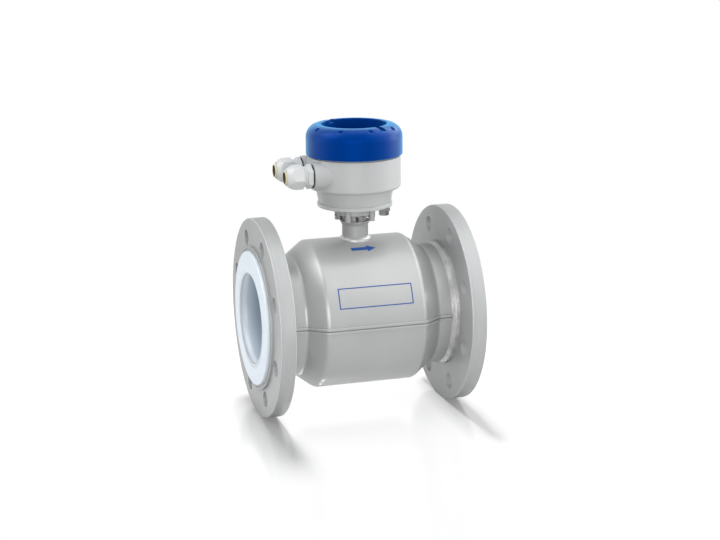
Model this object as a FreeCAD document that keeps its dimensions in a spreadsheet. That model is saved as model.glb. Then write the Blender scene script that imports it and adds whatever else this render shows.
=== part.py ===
import FreeCAD, Part
import Sketcher
import math
import os
from types import SimpleNamespace

# Flanged electromagnetic flow meter, DN 100 PN 16, with a compact converter.
#
# Millimetres and degrees.  The origin is the crossing of the pipe axis and the
# converter axis.  +X is the flow direction, +Z points up the converter axis.

SIZES = {
    # Pipe line
    "face_to_face": 242.0,
    "bore_radius": 49.0,
    "liner_wall": 5.0,
    "liner_edge_step": 5.0,
    "liner_flare_depth": 3.0,
    "liner_edge_round": 1.6,
    "liner_mouth_round": 2.4,
    "tube_wall": 3.15,
    # Flanges
    "flange_radius": 110.0,
    "flange_rim_width": 17.0,
    "flange_edge_round": 1.0,
    "raised_face_land": 2.0,
    "raised_face_height": 3.0,
    "raised_face_round": 0.8,
    "face_groove_inset": 2.6,
    "face_groove_width": 0.9,
    "face_groove_depth": 0.6,
    "bolt_edge": 20.0,
    "bolt_hole_radius": 9.0,
    "bolt_count": 8,
    "first_bolt_angle": 22.5,
    # Coil housing, two deep-drawn half shells
    "shell_radius": 82.0,
    "shell_end_radius": 67.2,
    "shell_flat_half": 54.9,
    "shell_cone_angle": 37.0,
    "shell_wall": 3.0,
    "shell_shoulder_round": 8.0,
    "shell_foot_round": 6.0,
    "lip_proud": 2.0,
    "lip_root": 1.2,
    "lip_height": 3.1,
    "lip_groove": 0.8,
    "lip_round": 0.7,
    "weld_length": 8.5,
    "weld_height": 3.1,
    # Electrodes
    "electrode_head_radius": 5.0,
    "electrode_stem_radius": 2.5,
    "electrode_recess": 0.1,
    "electrode_room": 7.0,
    "electrode_fit": 0.1,
    "bush_radius": 6.0,
    "bush_flange_radius": 9.0,
    "bush_flange_depth": 2.0,
    "spring_radius": 6.0,
    "spring_depth": 2.4,
    "electrode_nut_flats": 10.0,
    "electrode_nut_depth": 4.0,
    # Coils and iron circuit
    "shoe_depth": 3.0,
    "shoe_half_length": 40.0,
    "shoe_angle": 84.0,
    "core_half_length": 24.0,
    "core_angle": 13.0,
    "core_gap": 0.4,
    "yoke_gap": 0.5,
    "yoke_wall": 2.2,
    "yoke_half_length": 22.0,
    "bobbin_wall": 1.2,
    "bobbin_room": 5.45,
    "winding_build": 13.5,
    "winding_gap": 0.3,
    # Neck
    "neck_radius": 14.4,
    "neck_wall": 2.6,
    "neck_length": 27.8,
    "neck_flare_step": 2.7,
    "neck_flare_height": 5.0,
    "neck_head_wall": 1.4,
    "neck_head_height": 7.3,
    "neck_plate_depth": 8.3,
    "neck_plate_margin": 3.9,
    "neck_bend_round": 3.0,
    "neck_weld_width": 2.8,
    "lug_radius": 3.35,
    "lug_reach": 0.5,
    "lug_angle": 54.0,
    "lug_length": 6.0,
    "gasket_depth": 0.7,
    "neck_screw_count": 4,
    "neck_screw_radius": 2.5,
    "neck_screw_flats": 8.0,
    "neck_screw_head": 4.4,
    "lock_washer_radius": 4.6,
    "lock_washer_depth": 1.2,
    "lock_washer_gap": 0.8,
    "screw_fit": 0.1,
    # Converter housing
    "housing_rim_radius": 41.3,
    "housing_rim_height": 4.4,
    "housing_rim_step": 1.4,
    "housing_waist_draft": 2.8,
    "housing_waist_height": 15.3,
    "housing_ledge_width": 8.1,
    "housing_ledge_rise": 1.0,
    "housing_barrel_height": 35.2,
    "housing_edge_round": 0.8,
    "housing_ledge_round": 3.2,
    "housing_floor": 5.2,
    "housing_wall": 2.6,
    "board_ledge_depth": 2.1,
    "collar_step": 2.6,
    "collar_wall": 4.5,
    "collar_height": 13.7,
    "ring_groove_rise": 1.7,
    "ring_groove_height": 2.8,
    "ring_groove_depth": 2.1,
    "ring_section": 1.1,
    # Ground terminal
    "ground_pad_radius": 5.2,
    "ground_pad_gap": 5.8,
    "ground_pad_depth": 5.2,
    "ground_clamp_width": 11.4,
    "ground_clamp_depth": 3.2,
    "ground_screw_flats": 10.0,
    "ground_screw_head": 5.3,
    "ground_screw_radius": 2.9,
    "ground_screw_grip": 7.0,
    # Cable entries
    "entry_offset": 22.0,
    "entry_drop": 16.4,
    "entry_boss_margin": 1.9,
    "entry_boss_proud": 3.4,
    "entry_boss_root": 18.0,
    "entry_boss_round": 0.7,
    "entry_fit": 0.1,
    # Cable glands
    "gland_thread_radius": 9.9,
    "gland_thread_length": 9.0,
    "gland_gasket_radius": 12.9,
    "gland_gasket_depth": 1.6,
    "gland_flats": 24.0,
    "gland_hex_depth": 4.8,
    "gland_shoulder_radius": 12.1,
    "gland_shoulder_depth": 0.8,
    "gland_neck_radius": 11.0,
    "gland_neck_gap": 4.0,
    "gland_neck_hidden": 4.5,
    "gland_bore_radius": 7.0,
    "collet_length": 9.0,
    "collet_wall": 1.3,
    "collet_slot": 1.4,
    "collet_count": 6,
    "seal_radius": 7.9,
    "seal_bore_radius": 6.15,
    "seal_fit": 0.3,
    "seal_nose_radius": 7.6,
    "seal_nose_proud": 2.1,
    "nut_nose_length": 4.3,
    "nut_thread_length": 5.6,
    "nut_thread_fit": 0.3,
    "nut_dome_length": 7.0,
    "nut_dome_round": 10.0,
    "nut_tip_radius": 9.1,
    "nut_throat_depth": 2.4,
    "nut_turn": 20.0,
    "nut_mouth_fit": 0.3,
    # Electronics
    "board_gap": 0.4,
    "board_depth": 1.6,
    "board_hole_radius": 6.0,
    "board_screw_inset": 3.3,
    "board_screw_count": 3,
    "board_screw_radius": 1.5,
    "board_screw_head_radius": 2.7,
    "board_screw_head": 2.0,
    "board_screw_length": 6.0,
    "power_length": 36.0,
    "power_width": 28.0,
    "power_height": 20.0,
    "terminal_gap": 8.6,
    "terminal_depth": 12.0,
    "terminal_width": 42.0,
    "terminal_height": 13.0,
    "terminal_count": 6,
    "terminal_well_radius": 2.0,
    "terminal_well_depth": 3.0,
    "insert_radius": 37.0,
    "insert_wall": 2.0,
    "insert_gap": 3.0,
    "display_margin": 1.2,
    "display_gap": 2.2,
    "display_depth": 9.0,
    "display_round": 1.5,
    "pane_length": 46.0,
    "pane_width": 26.0,
    "pane_depth": 0.8,
    # Screw cover
    "cover_wall": 4.3,
    "cover_gap": 1.4,
    "cover_height": 33.4,
    "cover_shoulder_round": 14.2,
    "cover_edge_round": 0.9,
    "cover_thread_fit": 0.4,
    "cover_room": 5.5,
    "well_rim_width": 17.0,
    "well_depth": 12.0,
    "well_lip_width": 2.4,
    "well_lip_depth": 1.8,
    "window_seat_width": 3.9,
    "window_seat_depth": 10.0,
    "window_collar_wall": 3.5,
    "notch_width": 7.2,
    "notch_length": 16.0,
    "notch_depth": 3.8,
    "notch_angle": -64.5,
    "notch_count": 2,
    "scallop_radius": 4.2,
    "scallop_depth": 2.1,
    "scallop_lean": 36.0,
    "scallop_step": 40.0,
    "scallop_count": 8,
    "window_fit": 0.1,
    "window_gasket_depth": 1.0,
    "window_depth": 6.0,
}


class Size:
    """A length, angle or count: its value and the sheet formula that gives it."""

    def __init__(self, value, formula):
        self.value = value
        self.formula = formula

    def __add__(self, other):
        return Size(self.value + value_of(other), f"({self.formula} + {formula_of(other)})")

    def __sub__(self, other):
        return Size(self.value - value_of(other), f"({self.formula} - {formula_of(other)})")

    def __mul__(self, other):
        return Size(self.value * value_of(other), f"({self.formula} * {formula_of(other)})")

    def __truediv__(self, other):
        return Size(self.value / value_of(other), f"({self.formula} / {formula_of(other)})")

    def __radd__(self, other):
        return Size(value_of(other) + self.value, f"({formula_of(other)} + {self.formula})")

    def __rmul__(self, other):
        return Size(value_of(other) * self.value, f"({formula_of(other)} * {self.formula})")

    def __rtruediv__(self, other):
        return Size(value_of(other) / self.value, f"({formula_of(other)} / {self.formula})")

    def __neg__(self):
        return Size(-self.value, f"(0 - {self.formula})")


def value_of(size):
    return size.value if isinstance(size, Size) else float(size)


def formula_of(size):
    return size.formula if isinstance(size, Size) else repr(float(size))


def sine(angle):
    return Size(math.sin(math.radians(angle.value)), f"sin({angle.formula} * 1 deg)")


def cosine(angle):
    return Size(math.cos(math.radians(angle.value)), f"cos({angle.formula} * 1 deg)")


def tangent(angle):
    return Size(math.tan(math.radians(angle.value)), f"tan({angle.formula} * 1 deg)")


doc = FreeCAD.newDocument("FlowMeter")
sheet = doc.addObject("Spreadsheet::Sheet", "Sizes")
for row, (alias, value) in enumerate(SIZES.items(), start=1):
    sheet.set(f"A{row}", alias)
    sheet.set(f"B{row}", str(value))
    sheet.setAlias(f"B{row}", alias)
doc.recompute()
s = SimpleNamespace(**{alias: Size(value, f"Sizes.{alias}") for alias, value in SIZES.items()})

# Levels and radii that several pieces share, from the pipe axis outwards
half_length = s.face_to_face / 2
tube_inner = s.bore_radius + s.liner_wall
tube_outer = tube_inner + s.tube_wall
raised_face = half_length - s.liner_flare_depth
flange_front = raised_face - s.raised_face_height
flange_back = flange_front - s.flange_rim_width
bolt_circle = s.flange_radius - s.bolt_edge
raised_face_radius = bolt_circle - s.bolt_hole_radius - s.raised_face_land
liner_flare_radius = raised_face_radius - s.liner_edge_step
weld_start = flange_back - s.weld_length

yoke_outer = s.shell_radius - s.shell_wall - s.yoke_gap
yoke_inner = yoke_outer - s.yoke_wall
shoe_outer = tube_outer + s.shoe_depth
bobbin_height = yoke_inner - shoe_outer - s.bobbin_room
bush_top = tube_outer + s.bush_flange_depth
spring_top = bush_top + s.spring_depth

neck_inner = s.neck_radius - s.neck_wall
flare_radius = s.neck_radius + s.neck_flare_step
head_radius = neck_inner + s.neck_head_wall
screw_circle = head_radius + s.lock_washer_gap + s.lock_washer_radius
plate_radius = screw_circle + s.neck_plate_margin
lug_circle = plate_radius + s.lug_reach
plate_bottom = s.shell_radius + s.neck_length
flare_top = plate_bottom - s.neck_head_height
neck_top = plate_bottom + s.neck_plate_depth

housing_bottom = neck_top + s.gasket_depth
floor_top = housing_bottom + s.housing_floor
rim_top = housing_bottom + s.housing_rim_height
waist_radius = s.housing_rim_radius - s.housing_rim_step
waist_top_radius = waist_radius + s.housing_waist_draft
ledge_bottom = rim_top + s.housing_waist_height
ledge_top = ledge_bottom + s.housing_ledge_rise
housing_radius = waist_top_radius + s.housing_ledge_width
housing_top = ledge_top + s.housing_barrel_height
housing_well = waist_radius - s.housing_wall
board_ledge = ledge_top + s.board_ledge_depth
board_top = board_ledge + s.board_depth
collar_radius = housing_radius - s.collar_step
collar_inner = collar_radius - s.collar_wall
collar_top = housing_top + s.collar_height
ring_groove_bottom = housing_top + s.ring_groove_rise
ground_offset = plate_radius + s.ground_pad_gap + s.ground_pad_radius
ground_seat = housing_bottom - s.ground_pad_depth

entry_level = housing_top - s.entry_drop
entry_end = housing_radius + s.entry_boss_proud
entry_boss_radius = s.gland_gasket_radius + s.entry_boss_margin
entry_hole_radius = s.gland_thread_radius + s.entry_fit
gland_neck_start = s.gland_gasket_depth + s.gland_hex_depth + s.gland_shoulder_depth
nut_start = gland_neck_start + s.gland_neck_gap
gland_neck_end = nut_start + s.gland_neck_hidden
collet_end = gland_neck_end + s.collet_length
collet_bore = s.seal_radius + s.seal_fit
nut_end = collet_end + s.nut_nose_length

cover_inner = collar_radius + s.cover_thread_fit
cover_radius = cover_inner + s.cover_wall
cover_bottom = housing_top + s.cover_gap
cover_top = cover_bottom + s.cover_height
well_radius = cover_radius - s.well_rim_width
well_floor = cover_top - s.well_depth
lip_radius = well_radius - s.well_lip_width
seat_radius = lip_radius + s.window_seat_width
seat_top = well_floor - s.well_lip_depth
seat_bottom = seat_top - s.window_seat_depth

board_radius = collar_inner - s.board_gap
board_screw_circle = housing_well + s.board_screw_inset
terminal_near = collar_inner - s.terminal_gap
insert_flat = terminal_near - s.terminal_depth - s.insert_gap
display_radius = lip_radius - s.display_margin
display_top = seat_bottom - s.display_gap
insert_top = display_top - s.display_depth

HEX_CORNER = 1 / math.sqrt(3)
WHOLE_TURN = 360
REACH = 400


def bind(item, prop, size):
    """Give a property its value, and its formula where it has one."""
    if isinstance(size, Size):
        item.setExpression(prop, size.formula)
    else:
        setattr(item, prop, size)


def place(item, x=0, y=0, z=0, axis=(0, 0, 1), angle=0):
    """Put a sub-part in the meter's frame."""
    base = FreeCAD.Vector(value_of(x), value_of(y), value_of(z))
    item.Placement = FreeCAD.Placement(base, FreeCAD.Rotation(FreeCAD.Vector(*axis), angle))
    for letter, size in (("x", x), ("y", y), ("z", z)):
        if isinstance(size, Size):
            item.setExpression(f"Placement.Base.{letter}", size.formula)


def new_body(label):
    body = doc.addObject("PartDesign::Body", label)
    body.Label = label
    place(body)
    return body


def origin_feature(body, role):
    return next(item for item in body.Origin.OriginFeatures if item.Role == role)


def new_sketch(body, name, role, offset=0, turn=0):
    """Start a sketch on one of the body's origin planes, raised and turned on it."""
    sketch = body.newObject("Sketcher::SketchObject", name)
    sketch.AttachmentSupport = (origin_feature(body, role), [""])
    sketch.MapMode = "FlatFace"
    rotation = FreeCAD.Rotation(FreeCAD.Vector(0, 0, 1), value_of(turn))
    sketch.AttachmentOffset = FreeCAD.Placement(FreeCAD.Vector(0, 0, value_of(offset)), rotation)
    if isinstance(offset, Size):
        sketch.setExpression("AttachmentOffset.Base.z", offset.formula)
    if isinstance(turn, Size):
        sketch.setExpression("AttachmentOffset.Rotation.Angle", f"{turn.formula} * 1 deg")
    return sketch


def constrain(sketch, *terms, size=None):
    """Add one constraint, with its value bound to the sheet."""
    if size is None:
        sketch.addConstraint(Sketcher.Constraint(*terms))
        return
    index = sketch.addConstraint(Sketcher.Constraint(*terms, value_of(size)))
    if isinstance(size, Size):
        sketch.setExpression(f"Constraints[{index}]", size.formula)


def pin(sketch, geometry, point, across, up):
    """Fix one point of a sketch at its distances from the sketch's origin."""
    for kind, axis, size in (("DistanceX", -2, across), ("DistanceY", -1, up)):
        if not isinstance(size, Size) and size == 0:
            constrain(sketch, "PointOnObject", geometry, point, axis)
        else:
            constrain(sketch, kind, -1, 1, geometry, point, size=size)


def add_circle(sketch, radius, across=0, up=0):
    centre = FreeCAD.Vector(value_of(across), value_of(up), 0)
    circle = Part.Circle(centre, FreeCAD.Vector(0, 0, 1), value_of(radius))
    index = sketch.addGeometry(circle, False)
    constrain(sketch, "Radius", index, size=radius)
    pin(sketch, index, 3, across, up)


def add_loop(sketch, corners):
    """Draw a closed outline.  A corner is (across, up) or (across, up, round)."""
    count = len(corners)
    points = [FreeCAD.Vector(value_of(c[0]), value_of(c[1]), 0) for c in corners]
    starts, ends, arcs = list(points), list(points), {}
    for i, corner in enumerate(corners):
        if len(corner) == 3:
            back = (points[i - 1] - points[i]).normalize()
            ahead = (points[(i + 1) % count] - points[i]).normalize()
            half = back.getAngle(ahead) / 2
            radius = value_of(corner[2])
            ends[i] = points[i] + back * (radius / math.tan(half))
            starts[i] = points[i] + ahead * (radius / math.tan(half))
            centre = points[i] + (back + ahead).normalize() * (radius / math.sin(half))
            leftward = back.cross(ahead).z < 0
            first, last = (ends[i], starts[i]) if leftward else (starts[i], ends[i])
            angles = [math.atan2(p.y - centre.y, p.x - centre.x) for p in (first, last)]
            circle = Part.Circle(centre, FreeCAD.Vector(0, 0, 1), radius)
            arcs[i] = (Part.ArcOfCircle(circle, *angles), leftward)
    lines = []
    for i in range(count):
        segment = Part.LineSegment(starts[i], ends[(i + 1) % count])
        lines.append(sketch.addGeometry(segment, False))
    for i, corner in enumerate(corners):
        before, after = lines[i - 1], lines[i]
        if i not in arcs:
            constrain(sketch, "Coincident", before, 2, after, 1)
            pin(sketch, after, 1, corner[0], corner[1])
            continue
        arc, leftward = arcs[i]
        curve = sketch.addGeometry(arc, False)
        entry, leave = (1, 2) if leftward else (2, 1)
        constrain(sketch, "Tangent", before, 2, curve, entry)
        constrain(sketch, "Tangent", after, 1, curve, leave)
        constrain(sketch, "Radius", curve, size=corner[2])
        tip = sketch.addGeometry(Part.Point(points[i]), True)
        constrain(sketch, "PointOnObject", tip, 1, before)
        constrain(sketch, "PointOnObject", tip, 1, after)
        pin(sketch, tip, 1, corner[0], corner[1])


def hexagon(flats, across=0, up=0):
    """The corners of a hexagon, two of its flats facing along the first axis."""
    half = flats / 2
    corner = flats * HEX_CORNER
    ring = [(half, corner / 2), (0 * corner, corner), (-half, corner / 2),
            (-half, -corner / 2), (0 * corner, -corner), (half, -corner / 2)]
    return [(across + a, up + b) for a, b in ring]


def turned(outline, angle):
    """An outline turned about the sketch's origin."""
    return [(a * cosine(angle) - b * sine(angle), a * sine(angle) + b * cosine(angle))
            for a, b in outline]


def rectangle(left, right, low, high, rounding=None):
    corners = [(left, low), (right, low), (right, high), (left, high)]
    if rounding is None:
        return corners
    return [corner + (rounding,) for corner in corners]


def feature(body, kind, name, sketch=None):
    """Add a PartDesign feature to a body and make it the tip."""
    item = body.newObject(f"PartDesign::{kind}", name)
    if sketch is not None:
        item.Profile = sketch
        sketch.Visibility = False
    body.Tip = item
    return item


def turn(body, name, corners, about="X", angle=WHOLE_TURN, centred=False, role="XZ_Plane"):
    """Turn an outline about X, as (along, radius), or about Z, as (radius, up)."""
    sketch = new_sketch(body, f"{name}_profile", role)
    add_loop(sketch, corners)
    item = feature(body, "Revolution", name, sketch)
    item.ReferenceAxis = (sketch, ["H_Axis" if about == "X" else "V_Axis"])
    item.Midplane = centred
    bind(item, "Angle", angle)
    return item


def pad(body, name, sketch, length, centred=False, backwards=False):
    item = feature(body, "Pad", name, sketch)
    item.Midplane = centred
    item.Reversed = backwards
    bind(item, "Length", length)
    return item


def cut(body, name, sketch, depth=REACH, centred=False, backwards=False):
    item = feature(body, "Pocket", name, sketch)
    item.Midplane = centred
    item.Reversed = backwards
    bind(item, "Length", depth)
    return item


def repeat(body, name, original, axis_role, count, step=None):
    """Repeat a feature round one of the body's axes, over a whole turn or by a step."""
    item = feature(body, "PolarPattern", name)
    item.Originals = [original]
    item.Axis = (origin_feature(body, axis_role), [""])
    bind(item, "Angle", WHOLE_TURN if step is None else step * (count - 1))
    bind(item, "Occurrences", count)
    return item


def dress(body, kind, name, radius, wanted):
    """Round or bevel the edges of the tip that the test picks."""
    doc.recompute()
    base = body.Tip
    edges = [f"Edge{i}" for i, edge in enumerate(base.Shape.Edges, start=1) if wanted(edge)]
    item = feature(body, kind, name)
    item.Base = (base, edges)
    bind(item, "Radius" if kind == "Fillet" else "Size", radius)
    return item


def group(label, bodies):
    """Gather identical loose pieces in one sub-part, as separate solids."""
    doc.recompute()
    item = doc.addObject("Part::Compound", label)
    item.Label = label
    item.Links = bodies
    place(item)
    return item


# ---------------------------------------------------------------- pipe line


def make_flange(label, side):
    """A forged flange with a raised sealing face, seen as the outlet one."""
    body = new_body(label)
    groove_out = raised_face_radius - s.face_groove_inset + s.face_groove_width / 2
    groove_in = groove_out - s.face_groove_width
    groove_floor = raised_face - s.face_groove_depth
    turn(body, f"{label}_disc", [
        (flange_back, tube_outer),
        (flange_back, s.flange_radius, s.flange_edge_round),
        (flange_front, s.flange_radius, s.flange_edge_round),
        (flange_front, raised_face_radius),
        (raised_face, raised_face_radius, s.raised_face_round),
        (raised_face, groove_out),
        (groove_floor, groove_out),
        (groove_floor, groove_in),
        (raised_face, groove_in),
        (raised_face, tube_outer),
    ])
    sketch = new_sketch(body, f"{label}_bolt_hole", "YZ_Plane")
    add_circle(sketch, s.bolt_hole_radius,
               bolt_circle * cosine(s.first_bolt_angle),
               bolt_circle * sine(s.first_bolt_angle))
    hole = cut(body, f"{label}_hole", sketch, centred=True)
    repeat(body, f"{label}_holes", hole, "X_Axis", s.bolt_count)
    place(body, angle=0 if side > 0 else 180)
    return body


def make_tube():
    body = new_body("measuring_tube")
    turn(body, "tube_wall_ring", rectangle(-raised_face, raised_face, tube_inner, tube_outer))
    sketch = new_sketch(body, "tube_electrode_hole", "XZ_Plane")
    add_circle(sketch, s.bush_radius)
    cut(body, "tube_electrode_holes", sketch, centred=True)
    return body


def make_liner():
    """The insulating liner, flared over both raised faces."""
    body = new_body("liner")
    turn(body, "liner_sleeve", [
        (-half_length, s.bore_radius, s.liner_mouth_round),
        (-half_length, liner_flare_radius, s.liner_edge_round),
        (-raised_face, liner_flare_radius),
        (-raised_face, tube_inner),
        (raised_face, tube_inner),
        (raised_face, liner_flare_radius),
        (half_length, liner_flare_radius, s.liner_edge_round),
        (half_length, s.bore_radius, s.liner_mouth_round),
    ])
    sketch = new_sketch(body, "liner_electrode_hole", "XZ_Plane")
    add_circle(sketch, s.electrode_head_radius + s.electrode_fit)
    cut(body, "liner_electrode_holes", sketch, centred=True)
    return body


# ---------------------------------------------------------- coil housing


def shell_line(proud, end):
    """The shell's side line, moved outwards, from one end to the other."""
    shift = proud * tangent(s.shell_cone_angle / 2)
    shoulder = s.shell_flat_half + shift
    foot = shoulder + (s.shell_radius - s.shell_end_radius) / tangent(s.shell_cone_angle)
    top, low = s.shell_radius + proud, s.shell_end_radius + proud
    outer_round, inner_round = s.shell_shoulder_round + proud, s.shell_foot_round - proud
    return [(-end, low), (-foot, low, inner_round), (-shoulder, top, outer_round),
            (shoulder, top, outer_round), (foot, low, inner_round), (end, low)]


def make_half_shell(label, upper):
    """A deep-drawn half shell: barrel, two cones, two feet and a seam lip."""
    body = new_body(label)
    flush = 0 * s.shell_wall
    outside, inside = shell_line(flush, flange_back), shell_line(-s.shell_wall, flange_back)
    wall = turn(body, f"{label}_wall", outside + inside[::-1], angle=180, role="XY_Plane")
    sketch = new_sketch(body, f"{label}_lip_line", "XY_Plane", offset=s.lip_groove / 2)
    add_loop(sketch, shell_line(s.lip_proud, weld_start) + shell_line(-s.lip_root, weld_start)[::-1])
    lip = pad(body, f"{label}_lip", sketch, s.lip_height)
    mirror = feature(body, "Mirrored", f"{label}_far_lip")
    mirror.Originals = [lip]
    mirror.MirrorPlane = (origin_feature(body, "XZ_Plane"), [""])
    body.Tip = mirror
    clear = 0.9 * s.lip_proud.value
    dress(body, "Fillet", f"{label}_lip_rounds", s.lip_round,
          lambda edge: edge.BoundBox.ZLength < 0.01 and edge.distToShape(wall.Shape)[0] > clear)
    if upper:
        sketch = new_sketch(body, f"{label}_neck_hole", "XY_Plane")
        add_circle(sketch, neck_inner)
        cut(body, f"{label}_neck_opening", sketch, backwards=True)
    place(body, axis=(1, 0, 0), angle=0 if upper else 180)
    return body


def make_shell_weld(label, side):
    """The fillet weld between the shell's foot and the back of a flange."""
    body = new_body(label)
    crest = s.shell_end_radius + s.weld_height
    turn(body, f"{label}_bead", [
        (weld_start, s.shell_end_radius),
        (flange_back, s.shell_end_radius),
        (flange_back, crest),
        (weld_start + s.weld_length / 2, crest - s.weld_height / 5, s.weld_length / 2),
    ])
    place(body, angle=0 if side > 0 else 180)
    return body


# ------------------------------------------------- electrodes and coils


def aim(body, side):
    """Lay a piece built up the Z axis along the electrode axis, on one side."""
    place(body, axis=(1, 0, 0), angle=-90 * side)


def make_electrode(label, side):
    body = new_body(label)
    tip = s.bore_radius + s.electrode_recess
    reach = yoke_inner - s.electrode_room
    turn(body, f"{label}_pin", [
        (0, tip), (s.electrode_head_radius, tip), (s.electrode_head_radius, tube_inner),
        (s.electrode_stem_radius, tube_inner), (s.electrode_stem_radius, reach),
        (0, reach)], about="Z")
    aim(body, side)
    return body


def make_electrode_bush(label, side):
    body = new_body(label)
    bore = s.electrode_stem_radius
    turn(body, f"{label}_sleeve", [
        (bore, tube_inner), (s.bush_radius, tube_inner), (s.bush_radius, tube_outer),
        (s.bush_flange_radius, tube_outer), (s.bush_flange_radius, bush_top), (bore, bush_top)], about="Z")
    aim(body, side)
    return body


def make_electrode_springs():
    """A conical spring washer behind each bush."""
    rings = []
    for side in (-1, 1):
        body = new_body(f"spring_{'front' if side < 0 else 'rear'}")
        bore = s.electrode_stem_radius
        turn(body, f"{body.Label}_cone", [
            (bore, spring_top - s.spring_depth / 2), (s.spring_radius, bush_top),
            (s.spring_radius, bush_top + s.spring_depth / 2), (bore, spring_top)], about="Z")
        aim(body, side)
        rings.append(body)
    return group("electrode_springs", rings)


def make_electrode_nuts():
    nuts = []
    for side in (-1, 1):
        body = new_body(f"pin_nut_{'front' if side < 0 else 'rear'}")
        sketch = new_sketch(body, f"{body.Label}_hexagon", "XY_Plane", offset=spring_top)
        add_loop(sketch, hexagon(s.electrode_nut_flats))
        add_circle(sketch, s.electrode_stem_radius)
        pad(body, f"{body.Label}_block", sketch, s.electrode_nut_depth)
        aim(body, side)
        nuts.append(body)
    return group("electrode_nuts", nuts)


def turn_over(body, side):
    """Leave a piece above the tube, or turn it to the same place below."""
    place(body, axis=(1, 0, 0), angle=0 if side > 0 else 180)


def make_pole_shoe(label, side):
    body = new_body(label)
    half = s.shoe_half_length
    turn(body, f"{label}_plate", rectangle(-half, half, tube_outer, shoe_outer),
         angle=s.shoe_angle, centred=True)
    turn_over(body, side)
    return body


def make_core(label, side):
    body = new_body(label)
    half = s.core_half_length
    turn(body, f"{label}_stack", rectangle(-half, half, shoe_outer, yoke_inner),
         angle=s.core_angle, centred=True)
    turn_over(body, side)
    return body


def bobbin_frame(extra):
    """The rectangle round the core, grown by a margin on every side."""
    along = s.core_half_length + s.core_gap + extra
    across = yoke_inner * sine(s.core_angle / 2) + s.core_gap + extra
    return rectangle(-along, along, -across, across)


def make_bobbin(label, side):
    """A flanged spool of insulating plastic round the core."""
    body = new_body(label)
    flush = 0 * s.bobbin_wall
    cheek = s.bobbin_wall + s.winding_gap + s.winding_build
    top_cheek = shoe_outer + bobbin_height - s.bobbin_wall
    layers = (("foot", shoe_outer, cheek, s.bobbin_wall),
              ("barrel", shoe_outer, s.bobbin_wall, bobbin_height),
              ("head", top_cheek, cheek, s.bobbin_wall))
    for name, level, margin, height in layers:
        sketch = new_sketch(body, f"{label}_{name}_line", "XY_Plane", offset=level)
        add_loop(sketch, bobbin_frame(margin))
        add_loop(sketch, bobbin_frame(flush))
        pad(body, f"{label}_{name}", sketch, height)
    turn_over(body, side)
    return body


def make_coil(label, side):
    """The copper winding between the bobbin's cheeks."""
    body = new_body(label)
    low = shoe_outer + s.bobbin_wall + s.winding_gap
    height = bobbin_height - 2 * s.bobbin_wall - 2 * s.winding_gap
    inner = s.bobbin_wall + s.winding_gap
    sketch = new_sketch(body, f"{label}_line", "XY_Plane", offset=low)
    rounded = [corner + (s.winding_build / 2,) for corner in bobbin_frame(inner + s.winding_build)]
    add_loop(sketch, rounded)
    add_loop(sketch, bobbin_frame(inner))
    pad(body, f"{label}_winding", sketch, height)
    turn_over(body, side)
    return body


def make_yoke():
    body = new_body("yoke_band")
    half = s.yoke_half_length
    turn(body, "yoke_ring", rectangle(-half, half, yoke_inner, yoke_outer))
    return body


# ------------------------------------------------------------------ neck


def add_screw_ring(body, name, radius):
    """Holes for the screws that join the neck and the housing."""
    sketch = new_sketch(body, f"{name}_centre", "XY_Plane")
    add_circle(sketch, radius, screw_circle)
    return cut(body, name, sketch, depth=housing_bottom + s.housing_floor * 2, backwards=True)


def make_neck():
    """The neck tube and its head, whose plate has four cast lugs on its rim."""
    body = new_body("neck")
    turn(body, "neck_stem", [
        (neck_inner, s.shell_radius - s.shell_wall),
        (s.neck_radius, s.shell_radius - s.shell_wall),
        (s.neck_radius, flare_top - s.neck_flare_height, s.neck_bend_round),
        (flare_radius, flare_top, s.housing_edge_round),
        (head_radius, flare_top),
        (head_radius, plate_bottom),
        (plate_radius, plate_bottom, s.housing_edge_round),
        (plate_radius, neck_top),
        (neck_inner, neck_top),
    ], about="Z")
    sketch = new_sketch(body, "lug_circles", "XY_Plane", offset=neck_top)
    for x_side in (-1, 1):
        for y_side in (-1, 1):
            add_circle(sketch, s.lug_radius,
                       x_side * lug_circle * cosine(s.lug_angle),
                       y_side * lug_circle * sine(s.lug_angle))
    pad(body, "lugs", sketch, s.neck_plate_depth + s.lug_length, backwards=True)
    sketch = new_sketch(body, "shell_barrel", "YZ_Plane")
    add_circle(sketch, s.shell_radius)
    cut(body, "saddle", sketch, centred=True)
    hole = add_screw_ring(body, "neck_screw_hole", s.neck_screw_radius + s.screw_fit)
    repeat(body, "neck_screw_holes", hole, "Z_Axis", s.neck_screw_count)
    return body


def make_neck_weld():
    """The weld bead that runs round the foot of the neck on the shell."""
    body = new_body("neck_weld")
    low = s.shell_radius - s.shell_wall
    crest = s.neck_radius + s.neck_weld_width
    top = s.shell_radius + s.neck_weld_width
    turn(body, "neck_bead", [
        (s.neck_radius, low), (crest, low), (crest, s.shell_radius + s.neck_weld_width / 4),
        (s.neck_radius + s.neck_weld_width * 0.6, top - s.neck_weld_width / 3, s.neck_weld_width / 2),
        (s.neck_radius, top)], about="Z")
    sketch = new_sketch(body, "barrel_under_bead", "YZ_Plane")
    add_circle(sketch, s.shell_radius)
    cut(body, "bead_saddle", sketch, centred=True)
    return body


def make_neck_gasket():
    body = new_body("neck_gasket")
    turn(body, "gasket_ring", rectangle(neck_inner, plate_radius - s.housing_edge_round,
                                        neck_top, housing_bottom), about="Z")
    hole = add_screw_ring(body, "gasket_hole", s.neck_screw_radius + s.screw_fit)
    repeat(body, "gasket_holes", hole, "Z_Axis", s.neck_screw_count)
    return body


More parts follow.
